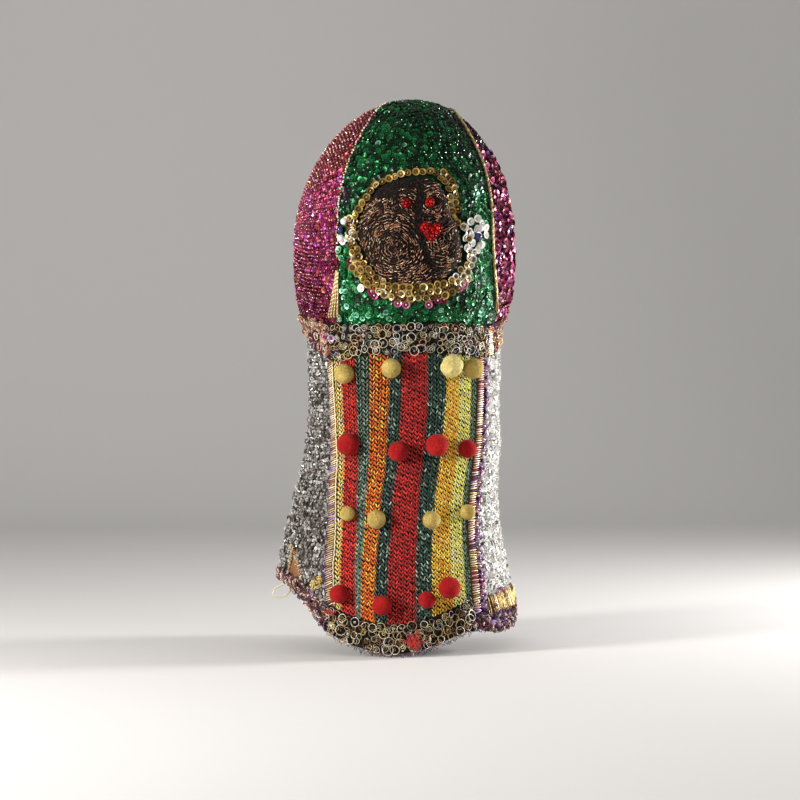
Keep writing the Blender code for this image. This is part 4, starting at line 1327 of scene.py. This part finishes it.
def crochet():
    """Columns of stitches over a ground painted dark as the shade in the holes. Each stitch is two
    slanting legs with a hole between them, a strand across under the hole and one on the ridge
    beside it; neighbouring columns are half a stitch apart."""
    panel = Column("crochet_panel", -75, 70)
    leg = spindle(4, 3, bow=0.35)
    for half, (first, last) in enumerate(((0, 4), (4, 6), (6, len(STRIPES)))):
        parts = []
        for index in range(first, last):
            colour = STRIPES[index][0]
            share = stripe_edge(index + 1, STRIPE_FOOT) - stripe_edge(index, STRIPE_FOOT)
            wales = max(round(share * CROCHET_WIDE * 1.08 / WALE), 1)
            places, slants, sizes, shine = [], [], [], []
            for wale in range(wales):
                for z in np.arange(NECK_Z, HEM_Z, -STITCH_PITCH):
                    z += 0.5 * STITCH_PITCH * (wale % 2) + CHANCE.normal(0, 0.00025)
                    left, right = stripe_edge(index, z), stripe_edge(index + 1, z)
                    one = (right - left) / wales
                    for shift, drop, slant, long, lit in STITCH:
                        across = left + one * (wale + 0.5 + shift)
                        met = panel.at(across, z - drop * STITCH_PITCH)
                        if met is None or not outermost("crochet_panel", met[0]):
                            continue
                        places.append(met)
                        slants.append(slant + CHANCE.normal(0, 5))
                        shine.append(max(lit, DIMMEST.get(colour, 0)))
                        thick = YARN / 2 * CHANCE.uniform(0.88, 1.12)
                        sizes.append((thick, STITCH_PITCH * long, thick * 0.9))
            points, normals = split(places)
            count = len(points)
            axes = spun(frames(normals), slants, CHANCE.normal(0, 5, count), 0)
            palette = ((colour, 5), (FLECKS[colour], 1.4))
            # Each strand's tint times its painted brightness: painted highlight on the legs, painted shade
            # under the hole.
            tint = np.clip(shades(count, *palette, wander=0.25) * np.array(shine)[:, None], 0, 1)
            lift = points + normals * (0.0009 + CHANCE.uniform(0, 0.0003, (count, 1)))
            parts.append((leg, lift, axes, np.array(sizes), tint, "wool"))
        joined(f"crochet_stitches_{half + 1}", parts, smooth=True)


# Bands of metal thread


def scattered(band, spots, lift, tilt, palette, shape, material="metal_thread", wander=0.2):
    """Copies of a shape on a band: each spot is (share along, share down, size)."""
    met = [(band.at(min(max(a, 0.004), 0.996), min(max(d, 0.03), 0.97)), size) for a, d, size in spots]
    met = [(m, size) for m, size in met if m]
    points, normals = split([m for m, _ in met])
    count = len(points)
    sizes = np.array([s for _, s in met]).reshape(-1)
    sizes = np.stack([sizes, sizes * CHANCE.uniform(0.85, 1.0, count), sizes], axis=1)
    high = lift + CHANCE.uniform(0, 0.0007, (count, 1))
    tint = shades(count, *palette, wander=wander)
    return shape, points + normals * high, strewn(normals, tilt), sizes, tint, material


def scrollwork(name, band, rows, pitch, size, palette, dim, crowd=1.0, thick=0.0006):
    """Interlocked rings of metal thread in rows along a band, over a tangle of dimmer curls and
    with a few knots."""
    length = band.length()
    rings, hearts, curls, knots = [], [], [], []
    for i, row in enumerate(rows):
        for s in np.arange(pitch * (0.3 + 0.5 * (i % 2)), length, pitch):
            along = (s + CHANCE.normal(0, pitch * 0.22)) / length
            down = row + CHANCE.normal(0, 0.05)
            rings.append((along, down, size * CHANCE.uniform(0.6, 1.15)))
            if CHANCE.random() < 0.5:
                hearts.append((along, down, size * CHANCE.uniform(0.35, 0.6)))
            if CHANCE.random() < 0.35:
                knots.append((along, down + CHANCE.normal(0, 0.1), size * CHANCE.uniform(0.2, 0.3)))
    for s in np.arange(0, length, pitch * 0.3 / crowd):
        curls.append((s / length, CHANCE.uniform(0.04, 0.96), size * CHANCE.uniform(0.4, 0.9)))
    wire = thick / size
    parts = [
        scattered(band, rings, 0.0011, 16, palette, ring(14, wire), wander=0.3),
        scattered(band, hearts, 0.0009, 16, palette, curl(1.3, 10, wire * 1.6), wander=0.3),
        scattered(band, curls, 0.0004, 22, dim, curl(1.1, 9, wire * 1.2), wander=0.4),
        scattered(band, knots, 0.0010, 30, palette, curl(1.0, 7, 0.5, 0.5), wander=0.35),
    ]
    return joined(name, parts, smooth=True)


GOLD_WIRE = (("cream", 6), ("silver", 1.5), ("pale_gold", 2), ("white", 3), ("tan", 1), ("mist", 0.5))
HEM_WIRE = (("cream", 5), ("silver", 1), ("pale_gold", 2.5), ("white", 1.2), ("tan", 2), ("bronze", 1.5))
DIM_WIRE = (("bronze", 3), ("tan", 2), ("umber", 3), ("steel", 1), ("cream", 1), ("spruce", 0.6))
PINK_WIRE = (
    ("copper", 2), ("gold", 2), ("cream", 4), ("blush", 2.5), ("violet", 0.6), ("tan", 1.5), ("rust", 1),
)
DARK_CURLS = (
    ("purple", 1.4), ("wine", 3), ("lilac", 0.4), ("copper", 1.6), ("cream", 1.2), ("blush", 1.6),
    ("umber", 2),
)

# The middle of the crowded curls at the lower left corner, in the photograph.
CORNER_CROWD = ((291, 577), (304, 590), (316, 604), (328, 618))
CORNER_PIECES = ("side_panel_left", "hem_binding", "braid_left", "hem_band_front")


def first_seen(names, x, y):
    """The place seen first among some pieces at a place of the photograph."""
    start, _ = sight(x, y)
    met = [m for m in (GROUND.seen(name, x, y) for name in names) if m]
    return min(met, key=lambda m: (m[0] - start).length) if met else None


def bands():
    """The metal thread on the two neck bands and on the band at the front hem."""
    rows = (0.14, 0.39, 0.64, 0.88)
    front = Band("neck_band_front", -60, 58)
    scrollwork("neck_scrolls_front", front, rows, 0.0058, 0.0042, GOLD_WIRE, DIM_WIRE)
    rows = (0.20, 0.50, 0.80)
    back = Band("neck_band_back", 48, 318, 500)
    scrollwork(
        "neck_scrolls_back", back, rows, 0.0074, 0.0035, PINK_WIRE, PINK_WIRE, 1.4, thick=0.0008
    )
    rows = (0.13, 0.38, 0.63, 0.88)
    hem = Band("hem_band_front", -46, 33)
    scrollwork("hem_scrolls", hem, rows, 0.0066, 0.0046, HEM_WIRE, DIM_WIRE, crowd=1.1)


def binding_curls():
    """Dark curls of thread all along the hem's binding, crowded at the lower left corner."""
    binding = Band("hem_binding", 29, 321, 200)
    length = binding.length()
    spots = []
    for s in np.arange(0, length, 0.0024):
        for down in (0.10, 0.36, 0.62, 0.88):
            spots.append((s / length, down + CHANCE.normal(0, 0.10), 0.0023 * CHANCE.uniform(0.7, 1.3)))
    hook = bent_thread()
    bits = scattered(binding, spots, 0.0008, 30, DARK_CURLS, hook, "soft_thread", 0.3)
    crowd = []
    for (ax, ay), (bx, by) in zip(CORNER_CROWD, CORNER_CROWD[1:]):
        for _ in range(110):
            s, out = CHANCE.random(), CHANCE.uniform(-5.5, 5.5)
            crowd.append((ax + s * (bx - ax) + 0.7 * out, ay + s * (by - ay) - 0.7 * out))
    met = [first_seen(CORNER_PIECES, x, y) for x, y in crowd]
    points, normals = split([m for m in met if m])
    high = CHANCE.uniform(0.0008, 0.0034, (len(points), 1))
    tint = shades(len(points), *DARK_CURLS, wander=0.3)
    more = (hook, points + normals * high, strewn(normals, 40), 0.0023, tint, "soft_thread")
    joined("binding_boucle", [bits, more], smooth=True)


def pink_sequins():
    """The two pink cups where the neck's bands meet at the left, each with a bead."""
    places = seen_at("neck_band_back", ((326, 336),)) + seen_at("neck_band_front", ((333, 338),))
    points, normals = split(places)
    count = len(points)
    axes, cup_tint = strewn(normals, 10), shades(count, ("pink", 1), ("lilac", 1))
    parts = [
        (cup(), points + normals * 0.0022, axes, 0.0034, cup_tint, "gold_film"),
        (bead(7, 5), points + normals * 0.0028, axes, 0.0009, shades(count, ("magenta", 1)), "beads"),
    ]
    joined("brocade_sequins", parts)


# Braids on the long seams

WARM = (("cream", 4), ("pale_gold", 3), ("gold", 1))
ROSY = (("blush", 3), ("cream", 2), ("pink", 0.6), ("copper", 1))
RUSTY = (("copper", 1.5), ("blush", 3.5), ("gold", 1), ("cream", 4), ("rust", 0.5))
MAUVE = (("lilac", 2), ("purple", 1.4), ("cream", 1), ("blush", 1))
MIXED = (("cream", 5), ("pale_gold", 2), ("blush", 1.2), ("tan", 1.4), ("lilac", 0.8))
WAVE_LONG = 0.0135


def braid_ribs(column, pitch, palettes, slope, thick=0.0024, first=0.02, last=0.98):
    """Short ribs laid across a seam, one above another, in groups of one palette each."""
    centres, ends, groups = [], [], []
    for z in column.steps(pitch):
        met = [column.at(s, z) for s in (first, 0.5 * (first + last), last)]
        if all(met):
            centres.append(met[1])
            ends.append((met[0][0], met[2][0] + Vector((0, 0, slope + CHANCE.normal(0, 0.0006)))))
            groups.append(int(-z / 0.011 + CHANCE.normal(0, 0.3)) % len(palettes))
    part = ribs_on(spindle(6, 6, bow=0.15), centres, ends, thick, palettes[0])
    tint = part[4]
    for i, group in enumerate(groups):
        tint[i] = shades(1, *palettes[group], wander=0.14)[0]
    return part


def wave(column, across, swing, period, lift, phase=0.0):
    """A line that swings from side to side down a column."""
    line = []
    for z in column.steps(period / 9):
        met = column.at(across, z)
        if met:
            p, n = met
            side = Vector((0, 0, 1)).cross(n).normalized()
            wander = 0.4 * swing * noise.noise(Vector((z * 60, across, 1.0)))
            line.append(p + side * (swing * math.sin(2 * math.pi * z / period + phase) + wander) + n * lift)
    return line


def braids():
    """Ribs and wavy cords on the long seams, and pearls down the outer one at the right."""
    left = Column("braid_left", -75, -30)
    inner = Column("braid_right_inner", 25, 60)
    outer = Column("braid_right_outer", 25, 65)
    back = Column("braid_back", 170, 190)
    part = braid_ribs(left, 0.0021, (MIXED,), 0.0036, thick=0.0012)
    joined("braid_ribs_left", [part], smooth=True)
    part = braid_ribs(inner, 0.0022, (RUSTY, ROSY, RUSTY, MAUVE, WARM, RUSTY), 0.0010, thick=0.0016)
    joined("braid_ribs_inner", [part], smooth=True)
    part = braid_ribs(outer, 0.0026, (MAUVE, ROSY, MAUVE), -0.0015, first=0.0, last=0.6)
    joined("braid_ribs_outer", [part], smooth=True)
    part = braid_ribs(back, 0.0026, (MAUVE, WARM), 0.0015)
    joined("braid_ribs_back", [part], smooth=True)

    lines = [(wave(left, 0.95, 0.0003, 0.0050, 0.0007), 0.0014, "cream")]
    wavy = ((left, 0.08, 0.0007, 0.0009), (outer, 0.45, 0.0024, 0.0016), (back, 0.5, 0.0022, 0.0016))
    for column, across, swing, thick in wavy:
        lines.append((wave(column, across, swing, WAVE_LONG, 0.0016), thick, "purple"))
        lines.append((wave(column, across, swing, WAVE_LONG, 0.0016, 0.55), thick * 0.75, "lilac"))
    cords("braid_wavy_cords", lines)

    spots = []
    for z in outer.steps(0.0068):
        met = outer.at(0.42 + CHANCE.normal(0, 0.05), z)
        if met:
            spots.append(met)
    points, normals = split(spots)
    count = len(points)
    size = 0.0016 * CHANCE.uniform(0.8, 1.25, count)
    tint = shades(count, ("white", 3), ("lilac", 2), ("pink", 1))
    pearls = (bead(8, 6), points + normals * 0.0022, strewn(normals, 10), size, tint, "beads")
    joined("braid_pearls", [pearls], smooth=True)


# Balls, face and beads


def felt_ball(number):
    """A cloth ball over its CAD solid: round, a little lumpy, flat where it is sewn on."""
    node = f"ball_{number}"
    corners = corners_of(NODES[node].data)
    centre = (corners.max(0) + corners.min(0)) / 2
    radius = float(np.linalg.norm(corners - centre, axis=1).max())
    inwards = -level(centre)
    sideways = inwards.cross(Vector((0, 0, 1)))
    torn = number == 3
    bm = bmesh.new()
    bmesh.ops.create_icosphere(bm, subdivisions=4, radius=radius)
    for v in bm.verts:
        unit = v.co.normalized()
        seed = unit * 1.3 + Vector((number * 7.3, 0, 0))
        swell = 0.035 * noise.fractal(seed, 1.0, 2.0, 3) + 0.008 * noise.noise(seed * 9)
        pleat = math.atan2(unit.z, unit.dot(sideways))
        swell += 0.03 * max(unit.dot(inwards), 0.0) * math.sin(9 * pleat)
        if torn:
            fold = 1 - abs(noise.noise(seed * 1.3 + Vector((0, 3.1, 0)))) * 5
            swell += 0.16 * max(fold, -0.2) - 0.06
        v.co *= 1 + swell
        depth = v.co.dot(inwards) - 0.86 * radius
        if depth > 0:
            v.co -= inwards * depth
    bmesh.ops.translate(bm, verts=bm.verts, vec=centre)
    if torn:
        bmesh.ops.smooth_vert(
            bm, verts=bm.verts, factor=0.5, use_axis_x=True, use_axis_y=True, use_axis_z=True
        )
    mesh = bpy.data.meshes.new(f"cloth_ball_{number}")
    bm.to_mesh(mesh)
    bm.free()
    mesh.shade_smooth()
    colour = "yellow" if (number - 1) // 4 % 2 == 0 else "red"
    mesh.materials.append(MATERIALS["torn_felt" if torn else f"{colour}_felt"])
    made = bpy.data.objects.new(f"cloth_ball_{number}", mesh)
    bpy.context.scene.collection.objects.link(made)
    return keep(made, [node])


# Middles of the arcs of loops in the photograph, one for each lobe of the face.
ARC_MIDDLES = {
    "cheek": (396, 248), "brow_left": (405, 204), "ridge_right": (432, 203), "chin_right": (440, 240),
}

# The crease down the face in the photograph, kept dark as painted shade.
CREASE = ((421, 176), (420, 205), (418, 222), (421, 236), (425, 250), (430, 262), (433, 276))

# How far apart the rows of loops are, and the loops in a row, in pixels of the photograph.
LOOP_ROW = 2.7
LOOP_STEP = 2.1


def crease_at(y):
    """Where the dark crease down the face is, at a height of the photograph."""
    return float(np.interp(y, [p[1] for p in CREASE], [p[0] for p in CREASE]))


def lobe_at(x, y):
    """The lobe of the face at a place of the photograph, or none in the crease and the smooth
    patch above the left eye."""
    away = x - crease_at(y)
    if abs(away) < (3.6 if y < 262 else 1.2):
        return None
    if away > 0:
        return "ridge_right" if y < 231 else "chin_right"
    if y < 187 or (x < 399 and y < 199):
        return None
    return "brow_left" if math.hypot((x - 404) / 17, (y - 199) / 13) < 1 else "cheek"


def face_loops():
    """Rows of copper and cream loops on the dark knit, in arcs round each lobe of the face. The copper, brass
    and cream tints of the lit loops are painted highlights, and the dark tints of the rest painted shade.
    """
    strand, hook = spindle(4, 4, bow=0.9), curl(0.62, 6, 0.66, 0.9)
    places, turns, bright = [], [], []
    for name, (cx, cy) in ARC_MIDDLES.items():
        for radius in np.arange(1.5, 80, LOOP_ROW):
            count = max(int(2 * math.pi * radius / LOOP_STEP), 3)
            first = CHANCE.uniform(0, 1)
            for k in range(count):
                turn = 2 * math.pi * (k + first + CHANCE.normal(0, 0.1)) / count
                drift = Vector((cx + radius * math.cos(turn), cy - radius * math.sin(turn), 0.0)) / 13
                sway = 0.12 * math.sin(2 * turn + 0.7) + 0.05 * math.sin(5 * turn + radius * 0.1)
                reach = radius * (1 + sway) + 4 * noise.noise(drift) + noise.noise(drift * 4)
                reach += CHANCE.normal(0, 0.12)
                x, y = cx + reach * math.cos(turn), cy - reach * math.sin(turn)
                if lobe_at(x, y) != name or CHANCE.random() < 0.05:
                    continue
                met = GROUND.seen("face_pad", x, y)
                if met is None or met[1].dot(sight(x, y)[1]) > -0.08:
                    continue
                places.append(met)
                swirl = 24 * noise.noise(Vector((x / 9, y / 9, 5.0)))
                swirl += 40 * math.exp(-radius / 6) * CHANCE.normal()
                turns.append(math.degrees(turn) + swirl)
                # Painted light and shade: how likely a loop is to get a lit tint, more on the lower left
                # cheek, less on the right ridge and at the foot of the chin.
                shine = 0.6 + 0.25 * (x < 392 and y > 240) + 0.9 * noise.noise(Vector((x / 7, y / 7, 2.0)))
                shine -= 0.12 * (name == "ridge_right")
                bright.append(shine - 0.2 * (name == "chin_right" and y > 262))
    points, normals = split(places)
    count = len(points)
    axes = spun(frames(normals), np.array(turns) + CHANCE.normal(0, 9, count), CHANCE.normal(0, 6, count), 0)
    hooked = CHANCE.random(count) < 0.22
    size = np.where(hooked[:, None], (0.0011, 0.0009, 0.0009), (0.00042, 0.00155, 0.00055))
    size = size * CHANCE.uniform(0.75, 1.2, (count, 1))
    # Lit loops get painted highlights in pale tints; the rest keep dark tints as painted shade.
    lit = CHANCE.random(count) < np.array(bright)
    tint = shades(count, ("chestnut", 3), ("umber", 4), ("soot", 3), ("purple", 0.2), wander=0.3)
    lit_tints = (("brass_thread", 6), ("copper", 0.5), ("cream", 1.3), ("tan", 1.5))
    tint[lit] = shades(int(lit.sum()), *lit_tints, wander=0.3)
    parts = []
    for shape, mine in ((strand, ~hooked), (hook, hooked)):
        raised = points[mine] + normals[mine] * 0.0004
        parts.append((shape, raised, axes[mine], size[mine], tint[mine], "metal_thread"))
    # Only dark bits of wool in the crease, as painted shade, and on the smooth patch above the left eye.
    spots = [(CHANCE.uniform(360, 466), CHANCE.uniform(174, 286)) for _ in range(1800)]
    bare = seen_at("face_pad", [spot for spot in spots if lobe_at(*spot) is None])
    points, normals = split(bare)
    tint = shades(len(bare), ("soot", 5), ("umber", 1.5), ("aubergine", 0.4))
    parts.append((crinkle(7, 0.4), points, strewn(normals, 20), 0.0016, tint, "wool"))
    joined("face_loops", parts, smooth=True)


# The few coloured cups outside the ring, by their places in the photograph.
LONE_SEQUINS = {
    "magenta": ((352, 261), (353, 268), (372, 291), (375, 295), (437, 300), (443, 299)),
    "pink": ((398, 303), (406, 304), (428, 304), (458, 288), (463, 285)),
    "white": (
        (362, 288), (383, 292), (347, 221), (353, 222), (349, 238), (353, 241), (354, 233), (344, 241),
        (464, 228), (469, 222), (475, 229), (480, 224), (470, 235), (477, 236), (464, 238), (484, 235),
        (471, 243), (480, 245), (484, 228), (476, 219), (466, 248), (476, 250),
    ),
    "mint": ((340, 250), (341, 317)),
}

# The inmost row of the ring in the photograph: place, and how many rows there are outwards.
RING_PATH = (
    (377, 186, 1), (388, 181, 1), (399, 176, 1), (410, 173, 1), (421, 173, 1), (432, 172, 1),
    (439, 178, 2), (445.5, 185, 2), (449, 195, 2), (449.5, 206, 2), (451, 216, 1), (458, 224, 1),
    (467, 233, 1), (468, 247, 2), (466, 260, 2), (459, 272, 3), (448, 281, 3), (434, 286, 3),
    (419, 287, 3), (404, 288, 3), (390, 285, 3), (378, 278, 3), (368, 268, 3), (361, 257, 2),
    (357, 245, 2), (356, 232, 2), (356, 219, 1), (361, 208, 1), (368, 197, 1),
)

# How far apart its rows are, and the cups in a row, in pixels of the photograph.
RING_ROW = 5.2
RING_STEP = 6.9


def ring_places():
    """Places of the cups round the face in the photograph, row by row along the ring's path."""
    corners = [Vector(p[:2]) for p in RING_PATH] + [Vector(RING_PATH[0][:2])]
    rows = [p[2] for p in RING_PATH] + [RING_PATH[0][2]]
    middle = Vector((412, 232))
    places = []
    for row in range(3):
        left_over = RING_STEP * 0.5 * row
        for a, b, count in zip(corners, corners[1:], rows):
            run = (b - a).length * (1 + 0.09 * row)
            while left_over < run:
                if row < count:
                    p = a.lerp(b, left_over / run)
                    p += (p - middle).normalized() * RING_ROW * row
                    places.append((p.x + CHANCE.normal(0, 0.5), p.y + CHANCE.normal(0, 0.5)))
                left_over += RING_STEP * CHANCE.uniform(0.88, 1.08)
            left_over -= run
    return places


def ring_sequins():
    """The gold cup sequins round the face, one row above and two or three below, with a seed
    bead in each."""
    spots = ring_places()
    met = [(GROUND.seen("crown_center_panel", *spot), spot) for spot in spots]
    met = [(m, spot) for m, spot in met if m]
    points, normals = split([m for m, _ in met])
    # Cups at the ring's right, where the right lamp's light falls strongest, are tinted cream and white:
    # painted highlight.
    pale = np.array([x > 454 and 226 < y < 284 for _, (x, y) in met])
    big, seed = cup(), bead(7, 5)
    count = len(points)
    axes = strewn(normals, 12)
    size = RING_SEQUIN / 2 * CHANCE.uniform(0.86, 1.06, count)
    tint = shades(count, ("gold", 5), ("ochre", 2.5), ("pale_gold", 2), ("bronze", 0.6), wander=0.22)
    tint[pale] = shades(int(pale.sum()), ("cream", 3), ("pale_gold", 2), ("white", 2), wander=0.1)
    high = (0.0028 + CHANCE.uniform(0, 0.0016, count))[:, None]
    held = points + normals * high
    seeds = shades(count, ("chestnut", 3), ("bronze", 2), ("gold", 1))
    parts = [
        (big, held, axes, size, tint, "gold_film"),
        (seed, held + axes[:, :, 2] * -0.0002, axes, 0.0011, seeds, "beads"),
    ]
    joined("ring_cup_sequins", parts, replaced=["face_ring"])


def lone_sequins():
    """The pink, white and green cups outside the ring, with a seed bead in each."""
    big, seed = cup(), bead(7, 5)
    parts = []
    for colour, spots in LONE_SEQUINS.items():
        points, normals = split(seen_at("crown_center_panel", spots))
        count = len(points)
        axes = strewn(normals, 14)
        film_name = "white_film" if colour == "white" else "gold_film"
        parts.append((big, points + normals * 0.0026, axes, 0.0040, shades(count, (colour, 1)), film_name))
        parts.append((seed, points + normals * 0.0027, axes, 0.0010, shades(count, ("cream", 1)), "beads"))
    joined("lone_sequins", parts)


def middle_of(node):
    """A piece's middle, and half of how wide it is at its widest."""
    corners = corners_of(NODES[node].data)
    return (corners.max(0) + corners.min(0)) / 2, float((corners.max(0) - corners.min(0)).max() / 2)


def round_bead(name, node, colour):
    """A smooth bead over its CAD solid."""
    centre, radius = middle_of(node)
    tint = shades(1, (colour, 1), wander=0)
    part = (bead(24, 16), centre[None], np.eye(3)[None], radius * 0.97, tint, "clear_beads")
    joined(name, [part], smooth=True, replaced=[node])


def red_cups(name, spots, replaced):
    """Red cup sequins stacked under a red bead: each spot is (point, normal, radius)."""
    points = np.array([p for p, _, _ in spots])
    normals = np.array([n for _, n, _ in spots])
    size = np.array([r for _, _, r in spots])
    count = len(spots)
    axes = strewn(normals, 3)
    parts = []
    for step, scale in ((-0.0016, 0.96), (-0.0004, 1.0), (0.0008, 0.78)):
        tint = shades(count, ("bead_red", 3), ("flame", 1), wander=0.1)
        parts.append((cup(18), points + normals * step, axes, size * scale, tint, "red_film"))
    small = bead(8, 6)
    for turn in np.arange(0, 360, 60):
        around = spun(axes, turn)
        tint = shades(count, ("flame", 1), ("bead_red", 2), wander=0.2)
        held = points + normals * 0.0006 + around[:, :, 0] * (size * 0.60)[:, None]
        parts.append((small, held, axes, size * 0.24, tint, "red_glass"))
    tint = shades(count, ("flame", 1), ("bead_red", 1), wander=0.05)
    parts.append((bead(14, 10), points + normals * 0.0014, axes, size * 0.36, tint, "red_glass"))
    joined(name, parts, smooth=True, replaced=replaced)


# The heart's cups, three large and three small: place in the photograph and radius in metres.
HEART = (
    (425.2, 228.0, 0.0056), (436.6, 228.6, 0.0054), (430.9, 236.0, 0.0056), (431.0, 230.2, 0.0036),
    (435.2, 233.4, 0.0038), (426.6, 233.2, 0.0038),
)


def beads():
    """The eyes, the round beads beside the ring, and the heart that is the mouth."""
    for side, eye_size in (("left", 0.0049), ("right", 0.0045)):
        centre, _ = middle_of(f"eye_{side}")
        met = GROUND.meet("face_pad", Vector((0, 0, centre[2])), level(centre))
        spot = (met[0] + met[1] * 0.0026, met[1], eye_size)
        red_cups(f"eye_cups_{side}", [spot], [f"eye_{side}"])
        round_bead(f"side_bead_blue_{side}", f"blue_bead_{side}", "navy")
        for place in ("upper", "lower"):
            node = f"white_bead_{side}_{place}"
            round_bead(f"side_bead_white_{side}_{place}", node, "white")
    spots = []
    for x, y, radius in HEART:
        point, normal = GROUND.seen("face_pad", x, y)
        normal = (normal + Vector((0, -1.5, 0))).normalized()
        spots.append((point + normal * 0.0048, normal, radius))
    red_cups("heart_cups", spots, ["mouth_beads"])


# Loose threads, frays and what else clings to the hem

# The free loop of thread at the lower left corner, in the photograph.
CORNER_LOOP = (
    (299, 574), (292, 576), (286, 582), (280, 586), (275, 588), (273, 593), (274, 598), (280, 597),
    (286, 596), (291, 590),
)
LOOP_THICK = 0.0016


def corner_thread():
    """The loop of thread that hangs free at the lower left corner."""
    line = [in_air(x, y, 0.045) for x, y in CORNER_LOOP]
    strand = one_strand(line, LOOP_THICK, "cream", "soft_thread")
    made = joined("corner_thread", [strand], smooth=True)


NOTCH_PIECES = ("side_panel_left", "lining_left", "hem_binding")
HEM_PIECES = (
    "hem_band_front", "hem_binding", "side_panel_left", "side_panel_right", "hem_corner_right",
    "crochet_panel",
)
BRIGHT_CURLS = (
    ("wine", 2), ("purple", 2), ("lilac", 1), ("blush", 1), ("soot", 1.5), ("violet", 1), ("white", 0.4),
)
FRAY_TINTS = (("purple", 3), ("wine", 3), ("soot", 2), ("lilac", 0.8), ("copper", 0.8), ("cream", 0.4))


def tufts(x, y, count, spread_out, lift, size, palette, shape, pieces=HEM_PIECES):
    """Bits of thread bunched at a place of the photograph, as a part for joined()."""
    spots = [(x + CHANCE.normal(0, spread_out), y + CHANCE.normal(0, spread_out)) for _ in range(count)]
    points, normals = split([met for met in (first_seen(pieces, *spot) for spot in spots) if met])
    high = lift * CHANCE.uniform(0.4, 1.0, (len(points), 1))
    tint = shades(len(points), *palette)
    return shape, points + normals * high, strewn(normals, 40), size, tint, "soft_thread"


def threads():
    """A stray end at the neck, a puff and knots on the hem, and frays under it and at the open
    corner."""
    stray = [in_air(x, y, -0.030) for x, y in ((497, 334), (500, 338), (503, 343))]
    cords("stray_thread", [(stray, 0.0009, "cream")])

    hem = Band("hem_band_front", -46, 33)
    length = hem.length()
    spots = []
    for s in np.arange(0, length, 0.0013):
        met = hem.at(s / length, 0.96)
        if met:
            drop = Vector((0, 0, -0.0035 * CHANCE.uniform(0.2, 1.3)))
            spots.append((met[0] + drop - met[1] * 0.0015, met[1]))
    points, normals = split(spots)
    count = len(points)
    size = np.stack([np.full(count, 0.0016), np.full(count, 0.0034), np.full(count, 0.0016)], axis=1)
    tint = shades(count, *FRAY_TINTS)
    axes = spun(frames(normals), CHANCE.uniform(-80, 80, count), CHANCE.normal(0, 12, count))
    bit, hook = crinkle(8), bent_thread()
    reds = (("scarlet", 3), ("crimson", 1))
    parts = [
        (bit, points, axes, size, tint, "soft_thread"),
        tufts(413, 641, 60, 2.8, 0.0040, 0.0024, reds, hook),
        tufts(333, 626, 14, 1.5, 0.0040, 0.0020, (("cream", 1),), bit),
        tufts(331, 611, 22, 2.2, 0.0034, 0.0020, reds, bit),
        tufts(319, 584, 44, 2.6, 0.0036, 0.0020, (("yellow", 4), ("gold", 1), ("navy", 1)), hook),
        tufts(327, 590, 12, 1.6, 0.0036, 0.0018, (("navy", 2), ("white", 1)), bit),
        tufts(303, 579, 12, 1.6, 0.0036, 0.0022, (("white", 1),), bit),
        tufts(500, 591, 26, 2.6, 0.0042, 0.0018, (("magenta", 2), ("purple", 1), ("pink", 1)), hook),
        tufts(498, 618, 90, 6.5, 0.0034, 0.0022, BRIGHT_CURLS, hook),
    ]
    pale = (("cream", 4), ("tan", 1.5), ("white", 1))
    for t in np.linspace(0, 1, 12):
        y = NOTCH_TOP + NOTCH_DEEP * t
        parts.append(tufts(291.5 - 3.5 * t, y, 14, 0.8, 0.0016, 0.0014, pale, bit, NOTCH_PIECES))
        parts.append(tufts(292.5 + 9 * t, y, 6, 0.7, 0.0016, 0.0013, pale, bit, NOTCH_PIECES))
    joined("hem_frays", parts, smooth=True)


def hem_bead():
    """The lilac bead at the right corner, with a small blue one on it."""
    point, normal = first_seen(HEM_PIECES, 491, 622)
    axes = strewn([normal], 5)
    big, small = (np.array(point + normal * lift) for lift in (0.0032, 0.0050))
    parts = [
        (bead(14, 10), big[None], axes, 0.0027, shades(1, ("lilac", 1)), "beads"),
        (bead(8, 6), small[None], axes, 0.0013, shades(1, ("navy", 1)), "beads"),
    ]
    joined("hem_bead", parts, smooth=True)


def end_trims():
    """Short ribs laid across the right end of the brocade, a purple thread and a tuft between it
    and the gold braid, and tufts over its left end."""
    back = Band("neck_band_back", 48, 308, 140)
    length = back.length()
    centres, ends = [], []
    for down in np.arange(0.05, 0.98, 0.065):
        met = [back.at(s / length, down) for s in (0.0010, 0.0062, 0.0114)]
        if all(met):
            centres.append(met[1])
            ends.append((met[0][0], met[2][0]))
    palette = (("blush", 3), ("cream", 5), ("copper", 0.8), ("lilac", 0.6))
    parts = [ribs_on(spindle(6, 8), centres, ends, 0.0017, palette, 0.0010)]
    seam = [first_seen(("neck_band_front", "neck_band_back"), 484.5, y) for y in range(327, 352, 2)]
    parts.append(one_strand([m[0] + m[1] * 0.0012 for m in seam if m], 0.0017, "purple", "soft_thread"))
    spots = [(492 + CHANCE.normal(0, 1.4), 326 + CHANCE.normal(0, 1.2)) for _ in range(14)]
    points, normals = split(seen_at("neck_band_back", spots))
    tint = shades(len(points), ("purple", 3), ("violet", 1))
    tuft = bent_thread(8)
    parts.append((tuft, points + normals * 0.0018, strewn(normals, 30), 0.0018, tint, "soft_thread"))
    hook = bent_thread()
    for x, y in ((312, 321), (318, 325), (324, 330), (326, 339), (329, 349)):
        parts.append(tufts(x, y, 26, 2.8, 0.0014, 0.0018, PINK_WIRE, hook, ("neck_band_back",)))
    joined("brocade_ends", parts, smooth=True)


def build():
    """The studio and the cloth first, and then all that is sewn on, from the cap down."""
    bpy.context.scene.view_settings.view_transform = "Standard"
    build_materials()
    studio()
    for name in CLOTHS:
        made = soft_piece(name)
    crown_sequins()
    seam_cord()
    seam_beads()
    corner_block()
    seam_wedge()
    side_beading()
    crochet()
    bands()
    binding_curls()
    pink_sequins()
    braids()
    for number in range(1, 17):
        felt_ball(number)
    face_loops()
    ring_sequins()
    lone_sequins()
    beads()
    end_trims()
    corner_thread()
    threads()
    hem_bead()


build()
